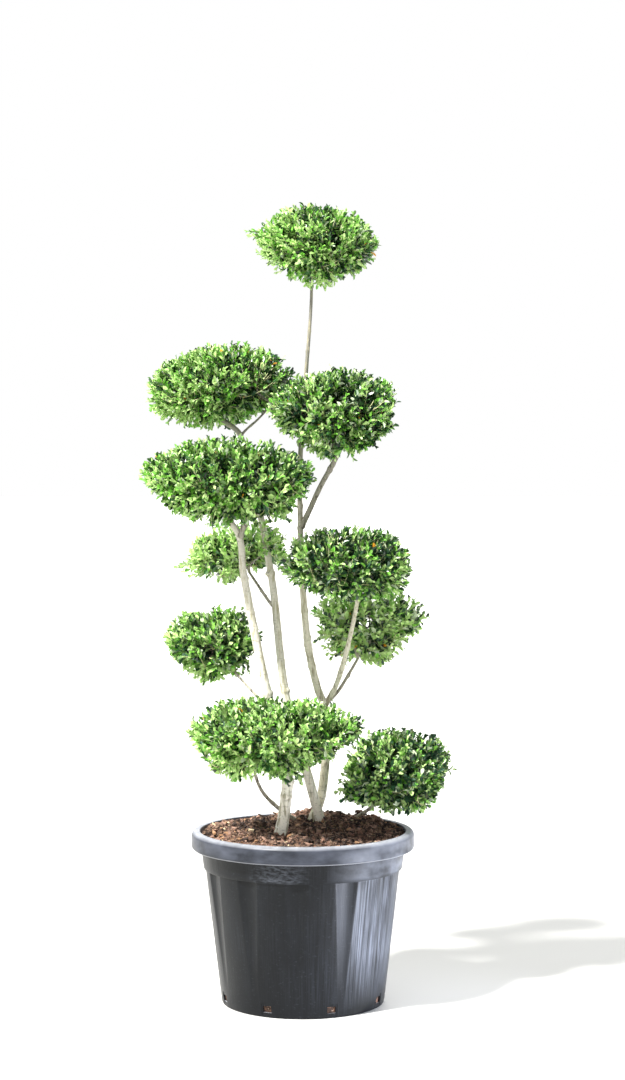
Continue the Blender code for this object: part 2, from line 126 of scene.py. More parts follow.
def split(quads: tuple) -> Array:
    """Return two triangles for each quad."""
    return np.array([corner for a, b, c, d in quads for corner in ((a, b, c), (a, c, d))])


def copied(triangles: Array, count: int, stride: int) -> Array:
    """Return the triangles of count equal shapes, whose points follow at a stride."""
    return (triangles[None] + (stride * np.arange(count))[:, None, None]).reshape(-1, 3)


def turned(points: Array, frames: Array) -> Array:
    """Return (n, k, 3) points turned by (n, 3, 3) frames, whose columns are the axes."""
    return np.einsum("nij,nkj->nki", frames, points)


def frames_of(ahead: Array, face: Array) -> Array:
    """Return frames whose first axis is ahead, and whose third lies towards face."""
    upright = unit(face - ahead * np.sum(face * ahead, axis=-1, keepdims=True))
    return np.stack([ahead, np.cross(upright, ahead), upright], axis=-1)


def bezier(begin: Array, elbow: Array, end: Array, rings: int) -> Array:
    """Return quadratic curves: (1-t)^2 begin + 2t(1-t) elbow + t^2 end, at even t."""
    t = np.linspace(0.0, 1.0, rings)[None, :, None]
    return (1 - t) ** 2 * begin[:, None] + 2 * t * (1 - t) * elbow[:, None] + t**2 * end[:, None]


def tubes(centres: Array, radii: Array, sides: int) -> tuple[Array, Array]:
    """Return the points and triangles of closed tubes along centre lines.

    A ring's points lie at centre + radius (cos a across + sin a upright), where across
    and upright are square to the line, and a pole closes each end.

    Args:
        centres: (tubes, rings, 3) points of the centre lines.
        radii: (tubes, rings) or (tubes, rings, sides) radii.
        sides: the number of points in a ring.

    Returns:
        All the points, and the triangles that join them.
    """
    count, rings, _ = centres.shape
    along = unit(np.gradient(centres, axis=1))
    chord = unit(centres[:, -1] - centres[:, 0])
    helper = np.where(np.abs(chord[:, 2:]) < 0.8, UP, DEPTHWAYS)[:, None]
    across = unit(np.cross(helper, along))[:, :, None]
    upright = np.cross(along[:, :, None], across)
    angle = math.tau * np.arange(sides) / sides
    spokes = across * np.cos(angle)[:, None] + upright * np.sin(angle)[:, None]
    if radii.ndim == 2:
        radii = radii[:, :, None]
    walls = (centres[:, :, None] + spokes * radii[..., None]).reshape(count, -1, 3)
    points = np.concatenate([walls, centres[:, :1], centres[:, -1:]], axis=1)
    triangles = copied(closed_wall(rings, sides), count, points.shape[1])
    return points.reshape(-1, 3), triangles


def tapered(lines: Array, thick: Array, thin: Array, sides: int) -> tuple[Array, Array]:
    """Return tubes whose radius goes evenly from thick to thin along each line."""
    share = np.linspace(0.0, 1.0, lines.shape[1])[None]
    return tubes(lines, thick[:, None] * (1 - share) + thin[:, None] * share, sides)


def joined(*parts: tuple[Array, Array]) -> tuple[Array, Array]:
    """Return several sets of points and triangles as one."""
    starts = np.cumsum([0] + [len(points) for points, _ in parts[:-1]])
    points = np.concatenate([points for points, _ in parts])
    return points, np.concatenate([faces + start for (_, faces), start in zip(parts, starts)])


def new_piece(
    name: str,
    points: Array,
    triangles: Array,
    materials: list[bpy.types.Material],
    kinds: Array | None = None,
    sharp_deg: float | None = None,
) -> bpy.types.Object:
    """Return a new smooth-shaded object made of triangles.

    Args:
        name: the object's name.
        points: (n, 3) places in metres.
        triangles: (m, 3) indices of points.
        materials: the materials, in the order that kinds counts them.
        kinds: each triangle's material, or None for the first.
        sharp_deg: edges turning by more than this stay sharp, or None for no such edge.

    Returns:
        The object, linked to the scene.
    """
    mesh = bpy.data.meshes.new(name)
    mesh.vertices.add(len(points))
    mesh.vertices.foreach_set("co", points.astype(np.float32).ravel())
    mesh.loops.add(triangles.size)
    mesh.loops.foreach_set("vertex_index", triangles.astype(np.int32).ravel())
    mesh.polygons.add(len(triangles))
    mesh.polygons.foreach_set("loop_start", np.arange(0, triangles.size, 3, dtype=np.int32))
    for material in materials:
        mesh.materials.append(material)
    if kinds is not None:
        mesh.polygons.foreach_set("material_index", kinds.astype(np.int32))
    mesh.update(calc_edges=True)
    mesh.shade_smooth()
    if sharp_deg is not None:
        mesh.set_sharp_from_angle(angle=math.radians(sharp_deg))
    piece = bpy.data.objects.new(name, mesh)
    bpy.context.scene.collection.objects.link(piece)
    LOG.info("%s: %d triangles", name, len(triangles))
    return piece


def place(piece: bpy.types.Object, slot: str, *nodes: str) -> bpy.types.Object:
    """Let a piece ride on the one body and stand for CAD nodes."""
    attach(piece, BODY)
    if nodes:
        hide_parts(*nodes)
    return piece


# ---- materials -------------------------------------------------------------------
def linear(code: str) -> tuple[float, float, float, float]:
    """Return an sRGB hex colour as linear red, green, blue and alpha."""
    channels = [int(code[start : start + 2], 16) / 255.0 for start in (1, 3, 5)]
    flat = [c / 12.92 if c <= 0.04045 else ((c + 0.055) / 1.055) ** 2.4 for c in channels]
    return (*flat, 1.0)


def add_node(
    tree: bpy.types.NodeTree, kind: str, inputs: dict | None = None, **settings: object
) -> bpy.types.Node:
    """Return a new node.

    Args:
        tree: the node tree that it joins.
        kind: the node's type.
        inputs: for an input's name or number, what is linked to it or its plain value.
        settings: the node's own properties.

    Returns:
        The node.
    """
    node = tree.nodes.new(kind)
    for key, value in settings.items():
        setattr(node, key, value)
    for key, value in (inputs or {}).items():
        value = getattr(value, "socket", value)
        if isinstance(value, bpy.types.NodeSocket):
            tree.links.new(value, node.inputs[key])
        else:
            node.inputs[key].default_value = value
    return node


@dataclass(frozen=True)
class Value:
    """A number, place or colour that varies over a surface, as the socket that gives it."""

    tree: bpy.types.NodeTree
    socket: bpy.types.NodeSocket

    def through(self, kind: str, inputs: dict, output: int | str = 0, **settings: object) -> "Value":
        """Return what a new node in the same tree gives."""
        return Value(self.tree, add_node(self.tree, kind, inputs, **settings).outputs[output])

    def __mul__(self, other: object) -> "Value":
        """Return the product with another value or a number."""
        return self.through("ShaderNodeMath", {0: self, 1: other}, operation="MULTIPLY")

    def sloped(self, slope: float, rest: object) -> "Value":
        """Return this value times slope plus rest."""
        return self.through("ShaderNodeMath", {0: self, 1: slope, 2: rest}, operation="MULTIPLY_ADD")

    def between(self, low: float, high: float) -> "Value":
        """Return 0 to 1 as this value goes from low to high."""
        inputs = {"Value": self, "From Min": low, "From Max": high}
        return self.through("ShaderNodeMapRange", inputs, clamp=True)

    def axis(self, name: str) -> "Value":
        """Return the X, Y or Z of a place."""
        return self.through("ShaderNodeSeparateXYZ", {0: self}, name)


class Surface:
    """A material in the making: its node tree, its shader and its tone so far.

    Noise is taken at grain, or at the surface's own place where grain is None.
    """

    def __init__(self, finish: "Finish") -> None:
        """Begin a material of the finish's plain colour, roughness and IOR."""
        self.material = bpy.data.materials.new(finish.name)
        self.material.use_nodes = True
        self.tree = self.material.node_tree
        self.shader = self.tree.nodes["Principled BSDF"]
        self.tone: object = linear(finish.colour)
        self.grain: Value | None = None
        self.shader.inputs["Base Color"].default_value = self.tone
        self.shader.inputs["Roughness"].default_value = finish.roughness
        self.shader.inputs["IOR"].default_value = finish.ior

    def coordinate(self, name: str = "Object") -> Value:
        """Return the place on the surface in Object coordinates, or its Normal."""
        return Value(self.tree, add_node(self.tree, "ShaderNodeTexCoord").outputs[name])

    def noise(self, size_mm: tuple[float, float, float], detail: float = 4.0) -> Value:
        """Return noise whose grains are size_mm along X, Y and Z."""
        place = self.grain or self.coordinate()
        scale = tuple(1000.0 / size for size in size_mm)
        scaled = place.through("ShaderNodeMapping", {"Vector": place, "Scale": scale})
        inputs = {"Vector": scaled, "Scale": 1.0, "Detail": detail}
        return scaled.through("ShaderNodeTexNoise", inputs, "Fac")

    def mix(self, share: Value, first: object, second: object) -> Value:
        """Return a mix of two colours, each a value or a linear colour."""
        return share.through("ShaderNodeMix", {0: share, 6: first, 7: second}, 2, data_type="RGBA")

    def paint(self, share: Value, colour: object) -> None:
        """Lay an sRGB code or a value over the tone, as thickly as the share says."""
        self.tone = self.mix(share, self.tone, linear(colour) if isinstance(colour, str) else colour)

    def roughen(self, share: Value, low: float, high: float) -> None:
        """Let the roughness go from low to high with the share."""
        spread = share.through("ShaderNodeMapRange", {"Value": share, "To Min": low, "To Max": high})
        self.tree.links.new(spread.socket, self.shader.inputs["Roughness"])

    def bump(self, height: Value, depth_mm: float) -> None:
        """Let a height pattern of depth_mm tilt the shader's normal."""
        inputs = {"Height": height, "Distance": depth_mm / 1000.0, "Strength": 1.0}
        self.tree.links.new(height.through("ShaderNodeBump", inputs).socket, self.shader.inputs["Normal"])

    def finished(self) -> bpy.types.Material:
        """Return the material, its tone linked to the shader if it varies."""
        if isinstance(self.tone, Value):
            self.tree.links.new(self.tone.socket, self.shader.inputs["Base Color"])
        return self.material


@dataclass(frozen=True)
class Finish:
    """A dielectric surface of one colour: its name, sRGB colour, roughness and IOR."""

    name: str
    colour: str
    roughness: float
    ior: float = 1.5

    def make(self) -> bpy.types.Material:
        """Return the finished material, with this finish's pattern in its nodes."""
        surface = Surface(self)
        self.pattern(surface)
        return surface.finished()

    def pattern(self, surface: Surface) -> None:
        """Leave the surface plain."""


@dataclass(frozen=True)
class Bark(Finish):
    """Smooth living bark: pale plates over a darker tone, with lenticels across the stem.

    old is the tone near the ground and colour the tone higher up.
    """

    old: str = "#f0ebdc"
    shade: str = "#a8a28a"
    lenticel: str = "#86826e"
    speck: str = "#6b6852"
    flake: str = "#efece0"
    ageing: tuple[float, float] = (0.44, 1.42)
    flaking: tuple[float, float] = (0.52, 0.40)
    lenticel_share: float = 0.55
    speck_share: float = 0.42

    def pattern(self, surface: Surface) -> None:
        """Mix the tones by height, then streaks along and lenticels across the limb."""
        height = surface.coordinate().axis("Z")
        surface.tone = linear(self.old)
        surface.paint(height.between(*self.ageing), self.colour)
        streaks = surface.noise((6.0, 6.0, 48.0), 5.0).between(0.51, 0.64)
        surface.paint(streaks, self.shade)
        lenticels = surface.noise((16.0, 16.0, 3.2), 2.0).between(0.60, 0.70)
        surface.paint(lenticels * self.lenticel_share, self.lenticel)
        specks = surface.noise((3.0, 3.0, 4.0), 2.0).between(0.62, 0.70)
        surface.paint(specks * self.speck_share, self.speck)
        flakes = surface.noise((11.0, 11.0, 9.0)).between(0.58, 0.66)
        surface.paint(flakes * height.between(*self.flaking), self.flake)
        surface.bump(surface.noise((2.6, 2.6, 5.0)), 0.5)


@dataclass(frozen=True)
class MouldedPlastic(Finish):
    """Recycled polypropylene, injection moulded: satin, with flow marks, dust and chalk.
    It also carries painted light: painted reflections of the lamps and the sky on the front
    right of the wall, the collar, the rim and what faces up, and a painted highlight along
    the rim's lower edge.

    Each share says how thickly a mark lies. Each pair is the place in metres where a mark
    begins and the place where it is full, across the pot, from front to back or up it.
    """

    worn: str = "#1e2126"
    scuffed: str = "#33373d"
    chalk_and_reflection: str = "#b4bbca"
    dust_and_sheen: str = "#a5a8b0"
    fade_and_reflection: tuple[str, str] = ("#22252c", "#4b4f5a")
    sheen_and_fade: str = "#a2a8b6"
    scuff_share: float = 0.50
    chalk_and_reflection_share: float = 0.28
    flute_chalk_and_reflection_share: float = 0.05
    fade_and_reflection_share: float = 0.85
    sheen_and_fade_share: float = 0.64
    smudge_share: float = 0.17
    edge_highlight_share: float = 0.55
    front: tuple[float, float] = (0.09, 0.00)
    below_collar: tuple[float, float] = (0.2936, 0.2930)
    above_neck: tuple[float, float] = (0.290, 0.300)
    below_rim: tuple[float, float] = (0.340, 0.330)
    rim: tuple[float, float] = (0.3355, 0.3415)
    rim_edge_highlight: tuple[tuple, tuple] = ((0.3355, 0.3368), (0.3400, 0.3380))
    panel_from: tuple[float, float] = (0.0826, 0.0850)
    panel_foot: tuple[float, float] = (0.015, 0.130)
    flute_from: tuple[float, float] = (0.0738, 0.0752)
    flute_across: tuple[float, float] = (0.120, 0.073)
    flute_foot: tuple[float, float] = (0.060, 0.200)
    right_sheen_across: tuple[float, float] = (0.05, 0.20)
    rubbed: tuple[tuple, tuple] = ((-0.120, -0.070), (0.020, -0.030))
    rougher: float = 0.16

    def unrolled(self, place: Value) -> Value:
        """Return the place as if the cone were a cylinder, so that streaks run down the wall.

        X and Y are divided by 0.177 + 0.121 Z, the cone's radius, and multiplied by 0.2.
        """
        radius = place.axis("Z").sloped(0.121 / 0.2, 0.177 / 0.2)
        divisor = place.through("ShaderNodeCombineXYZ", {0: radius, 1: radius, 2: 1.0})
        return place.through("ShaderNodeVectorMath", {0: place, 1: divisor}, operation="DIVIDE")

    def pattern(self, surface: Surface) -> None:
        """Streak the wall downwards, chalk one place and paint a reflection of the light at the
        right over it, and let dust and a painted reflection of the sky lie on what faces up.

        The chalked panel with its painted reflection and the flute beside it have slanting
        edges: their places across are taken along the lines X = 0.117 Z and X = -0.014 Z.
        """
        place = surface.coordinate()
        across, back, height = (place.axis(name) for name in "XYZ")
        surface.grain = self.unrolled(place)
        in_front = back.between(*self.front)
        wall = in_front * height.between(*self.below_collar)
        broad = surface.noise((70.0, 70.0, 120.0)).between(0.38, 0.68)
        streak = surface.noise((2.4, 2.4, 120.0)).between(0.40, 0.74)
        surface.paint(broad * streak, self.worn)
        scuff = surface.noise((7.0, 7.0, 4.0), 6.0).between(0.60, 0.80)
        surface.paint(scuff * self.scuff_share, self.scuffed)

        # Painted reflection of the light at the right, streaked like chalking: on the front's right panel and
        # the flute beside it.
        drips = surface.noise((2.3, 2.3, 200.0), 3.0).between(0.33, 0.64)
        cloudy = surface.noise((30.0, 30.0, 80.0), 5.0).between(0.10, 0.62)
        panel = height.sloped(-0.117, across).between(*self.panel_from)
        panel = panel * wall * height.between(*self.panel_foot)
        surface.paint(panel * self.chalk_and_reflection_share * (drips * cloudy), self.chalk_and_reflection)
        flute = height.sloped(0.014, across).between(*self.flute_from)
        flute = flute * across.between(*self.flute_across) * wall * height.between(*self.flute_foot)
        surface.paint(flute * self.flute_chalk_and_reflection_share, self.chalk_and_reflection)

        # The rim's lighter, bluish mottle: sun-faded plastic and a painted reflection of the pale surround on
        # the rolled rim.
        mottle = surface.noise((45.0, 45.0, 22.0), 5.0).between(0.30, 0.72)
        rim_fade_and_reflection = surface.mix(mottle, *(linear(code) for code in self.fade_and_reflection))
        surface.paint(height.between(*self.rim) * self.fade_and_reflection_share, rim_fade_and_reflection)
        # Painted sheen of the light at the right on the front right of the collar and rim, blotched like
        # sun-faded plastic.
        right_sheen = across.between(*self.right_sheen_across) * height.between(*self.above_neck) * in_front
        blotch = surface.noise((48.0, 48.0, 30.0), 3.0).between(0.25, 0.80)
        surface.paint(right_sheen * self.sheen_and_fade_share * blotch, self.sheen_and_fade)
        smudge = surface.noise((10.0, 10.0, 4.0), 6.0).between(0.36, 0.80)
        left, right = (across.between(*side) for side in self.rubbed)
        belt = height.between(*self.above_neck) * height.between(*self.below_rim)
        surface.paint(belt * (smudge * (left * right) * in_front) * self.smudge_share, self.chalk_and_reflection)
        # Painted highlight: a pale line along the rim's lower edge, where the moulding catches the light.
        low, high = (height.between(*side) for side in self.rim_edge_highlight)
        surface.paint(low * high * self.edge_highlight_share, self.dust_and_sheen)

        # Dust, and a painted reflection of the bright sky, on the faces that point up.
        level = surface.coordinate("Normal").axis("Z").between(0.30, 0.95)
        patchy = surface.noise((18.0, 18.0, 18.0), 6.0).between(-0.20, 0.80)
        surface.paint(level * patchy, self.dust_and_sheen)
        surface.roughen(streak, self.roughness, self.roughness + self.rougher)
        surface.bump(surface.noise((1.8, 1.8, 6.0)), 0.16)


@dataclass(frozen=True)
class Substrate(Finish):
    """Moist bark and peat potting mix: matt crumbs of several browns."""

    red: str = "#745545"
    pale: str = "#b09682"

    def pattern(self, surface: Surface) -> None:
        """Mix the browns crumb by crumb."""
        surface.paint(surface.noise((9.0, 9.0, 9.0), 6.0).between(0.45, 0.62), self.red)
        surface.paint(surface.noise((3.5, 3.5, 3.5), 3.0).between(0.62, 0.70), self.pale)
        surface.bump(surface.noise((3.0, 3.0, 3.0), 5.0), 1.6)


STEM_BARK = Bark("smooth pale privet bark", "#85837a", 0.80, 1.4)
# A darker copy of the stem bark, for the right stem and the middle right bough: weathered brown, and painted
# shade where the right stem stands behind the middle one.
SHADED_BACK_BARK = Bark("weathered privet bark with painted shade", "#77756c", 0.82, 1.4, old="#eae5d0", shade="#9a947c")
BOUGH_BARK = Bark("grey-brown bough bark", "#8f8b80", 0.82, 1.4, old="#aaa596", shade="#625d52")
POT_PLASTIC = MouldedPlastic("moulded recycled polypropylene", "#0e1013", 0.33, 1.29)
POTTING_MIX = Substrate("moist bark and peat mix", "#382920", 0.95)


class Tint(IntEnum):
    """The leaf colours from the newest to the oldest, and three that any leaf may take.

    GOLD is a leaf about to fall, PALE shows its underside and also stands for a painted
    whitish sheen of the sky on glossy leaves, and COOL is a painted reflection of the sky
    on an old, dark, glossy leaf, which turns it blue-green. DEEP and SHADE also serve as
    painted shade on the leaves inside a cloud.
    """

    NEW = 0
    BRIGHT = 1
    MID = 2
    DEEP = 3
    SHADE = 4
    GOLD = 5
    PALE = 6
    COOL = 7


# A privet leaf has a waxy cuticle over a dark green blade: it is glossy, and yellower
# while it is young. The blade's shape and the tint's spray carry what varies, and the
# spray also deals painted light and shade: lighter tints on the lit left and underneath,
# darker ones on top, inside and in the shaded clouds. Some pale and blue-green leaves
# are painted sheen and painted reflection.
LEAF_FINISHES = {
    Tint.NEW: Finish("new privet leaf", "#b8d989", 0.36, 1.6),
    Tint.BRIGHT: Finish("young privet leaf", "#7bba48", 0.34, 1.6),
    Tint.MID: Finish("grown privet leaf", "#618742", 0.32, 1.6),
    Tint.DEEP: Finish("old privet leaf", "#366030", 0.31, 1.6),
    Tint.SHADE: Finish("shaded privet leaf", "#1b3417", 0.31, 1.6),
    Tint.GOLD: Finish("yellowed privet leaf", "#d9992c", 0.45, 1.5),
    Tint.PALE: Finish("pale underside of a privet leaf", "#c0d0ae", 0.55, 1.5),
    Tint.COOL: Finish("blue-green privet leaf", "#2b4f35", 0.31, 1.7),
}
TWIG_FINISHES = (
    Finish("green-grey shoot bark", "#c8cb94", 0.60),
    Finish("dark twig bark", "#5d534a", 0.75),
)
CHIP_FINISHES = (
    Finish("black peat crumb", "#32251f", 0.95),
    Finish("brown bark chip", "#6d5646", 0.92),
    Finish("red bark chip", "#917364", 0.92),
    Finish("fresh orange bark chip", "#9c7757", 0.90),
    Finish("pale root fibre", "#b59d8c", 0.90),
    Finish("pale wood fleck", "#c9b797", 0.88),
)


# ---- pot -------------------------------------------------------------------------
@dataclass
class Pot:
    """The fluted nursery tub: a cone with a collar, a rolled rim and drain holes."""

    height: float = 0.375
    base_radius: float = 0.177
    neck_radius: float = 0.2125
    neck_height: float = 0.2935
    wall: float = 0.004
    foot_round: float = 0.003
    collar_low: float = 0.2165
    collar_top: float = 0.222
    collar_height: float = 0.3365
    rim_radius: float = 0.2425
    mouth_radius: float = 0.224
    rim_round: float = 0.0105
    lip_round: float = 0.005
    mouth_round: float = 0.0025
    flutes: int = 12
    flute_depth: float = 0.006
    flute_top: float = 0.2933
    flute_fade: float = 0.040
    first_flute_deg: float = -93.7
    flute_half_top_deg: float = 7.0
    flute_half_foot_deg: float = 2.4
    columns: int = 480
    drains: int = 8
    first_drain_deg: float = -70.0
    panel: tuple[float, float, float, float] = (0.025, -0.002, 0.031, 0.0012)
    hole: tuple[float, float, float, float] = (0.019, 0.011, 0.025, 0.008)
    wobble: float = 0.00025
    wobble_pitch: float = 0.055
    sharp_deg: float = 32.0

    def body_radius(self, height: Array | float) -> Array | float:
        """Return the outer radius of the plain cone at a height."""
        return self.base_radius + (self.neck_radius - self.base_radius) * height / self.neck_height

    def flute(self, angle: Array, height: Array) -> Array:
        """Return how deep the wall is pressed in.

        Each flute is a wedge. Its depth and width grow evenly from its fading foot to its
        top, and across it the depth is that of a parabola, so that its two edges are
        creases.
        """
        rise = (height - self.flute_fade) / (self.flute_top - self.flute_fade)
        grown = np.clip(rise, 0.0, 1.0) * (height < self.flute_top + 0.0001)
        half = self.flute_half_foot_deg + (self.flute_half_top_deg - self.flute_half_foot_deg) * grown
        pitch = 360.0 / self.flutes
        offset = (np.degrees(angle) - self.first_flute_deg + 0.5 * pitch) % pitch - 0.5 * pitch
        return self.flute_depth * grown * np.maximum(1.0 - (offset / half) ** 2, 0.0)

    def arc(self, centre: tuple, radius: float, start_deg: float, end_deg: float, steps: int) -> list:
        """Return the points of an arc in the outline, as radius and height."""
        turn = np.radians(np.linspace(start_deg, end_deg, steps))
        return list(zip(centre[0] + radius * np.cos(turn), centre[1] + radius * np.sin(turn)))

    def outline(self) -> list[tuple[float, float]]:
        """Return the outline from the underside, up the wall and over the rim to the floor."""
        foot = (self.base_radius - self.foot_round, self.foot_round)
        rows = [(0.5 * self.base_radius, 0.0)] + self.arc(foot, self.foot_round, -90.0, -6.0, 5)
        rows += [(self.body_radius(z), z) for z in np.linspace(0.008, self.flute_top, 30)]
        rows += [(self.neck_radius, self.neck_height)]
        rows += [(self.collar_low - 0.0006, self.neck_height + 0.0002)]
        start, end = self.neck_height + 0.0012, self.collar_height - 0.001
        rows += list(zip(np.linspace(self.collar_low, self.collar_top, 6), np.linspace(start, end, 6)))
        rows += [(self.collar_top + 0.0006, self.collar_height)]
        lip = (self.rim_radius - self.lip_round, self.collar_height + self.lip_round)
        rows += self.arc(lip, self.lip_round, -90.0, 0.0, 7)
        shoulder = (self.rim_radius - self.rim_round, self.height - self.rim_round)
        rows += self.arc(shoulder, self.rim_round, 0.0, 90.0, 11)
        mouth = (self.mouth_radius + self.mouth_round, self.height - self.mouth_round)
        rows += self.arc(mouth, self.mouth_round, 90.0, 180.0, 5)
        inner_top = (self.collar_top - self.wall, self.collar_height)
        rows += [(self.mouth_radius - 0.001, self.height - 0.008), inner_top]
        levels = np.linspace(self.flute_top, self.wall, 12)
        rows += [(self.body_radius(z) - self.wall, z) for z in levels]
        rows += [(0.5 * self.base_radius, self.wall)]
        return rows

    def drain_blocks(self, size: tuple[float, float, float, float]) -> tuple[Array, Array]:
        """Return the blocks that cut the drain panels or holes, leaning with the wall.

        Args:
            size: width, foot height, top height and how far it bites into the wall.

        Returns:
            The blocks' points and triangles.
        """
        width, foot, top, inset = size
        angle = np.radians(self.first_drain_deg) + math.tau * np.arange(self.drains) / self.drains
        outward = np.stack([np.cos(angle), np.sin(angle), 0.0 * angle], axis=-1)[:, None]
        sideways = np.stack([-np.sin(angle), np.cos(angle), 0.0 * angle], axis=-1)[:, None]
        level = np.repeat([foot, top], 4)[None, :, None]
        stand = np.tile([-inset, -inset, 0.012, 0.012], 2)[None, :, None]
        side = np.tile([-0.5, 0.5, 0.5, -0.5], 2)[None, :, None] * width
        points = outward * (self.body_radius(level) + stand) + sideways * side + UP * level
        block = split(((0, 1, 2, 3), (4, 7, 6, 5), (0, 4, 5, 1), (1, 5, 6, 2), (2, 6, 7, 3), (3, 7, 4, 0)))
        return points.reshape(-1, 3), copied(block, self.drains, 8)

    def angles(self, columns: int) -> Array:
        """Return evenly spread angles round the pot, from the first flute on."""
        return math.radians(self.first_flute_deg) + math.tau * np.arange(columns) / columns

    def build(self) -> bpy.types.Object:
        """Turn the outline round, press the flutes in and cut the drain holes."""
        rows = np.array(self.outline())
        angle = self.angles(self.columns)
        radius, height = rows[:, :1], rows[:, 1:]
        fluted = radius > self.body_radius(0.0) - self.wall - self.foot_round
        reach = radius - self.flute(angle[None], height) * fluted
        points = around(reach, angle, height)
        wobble = value_noise(points, self.wobble_pitch, 3)[..., None] * np.array([1.0, 1.0, 0.0])
        points = points + self.wobble * wobble * (height > self.foot_round)[..., None]
        poles = np.array([[0.0, 0.0, 0.0], [0.0, 0.0, self.wall]])
        points = np.concatenate([points.reshape(-1, 3), poles])
        triangles = closed_wall(len(rows), self.columns)
        pot = new_piece("nursery_pot", points, triangles, [POT_PLASTIC.make()], None, self.sharp_deg)
        for size in (self.panel, self.hole):
            cutter = new_piece("drain_cutter", *self.drain_blocks(size), [])
            self.cut(pot, cutter)
        pot.data.set_sharp_from_angle(angle=math.radians(self.sharp_deg))
        return place(pot, "pot_plastic", "pot")

    def cut(self, item: bpy.types.Object, cutter: bpy.types.Object) -> None:
        """Take the cutter's volume away from the item and remove the cutter."""
        boolean = item.modifiers.new("drain", "BOOLEAN")
        boolean.operation = "DIFFERENCE"
        boolean.solver = "EXACT"
        boolean.object = cutter
        graph = bpy.context.evaluated_depsgraph_get()
        result = bpy.data.meshes.new_from_object(item.evaluated_get(graph))
        item.modifiers.clear()
        old = item.data
        item.data = result
        bpy.data.meshes.remove(old)
        bpy.data.objects.remove(cutter)


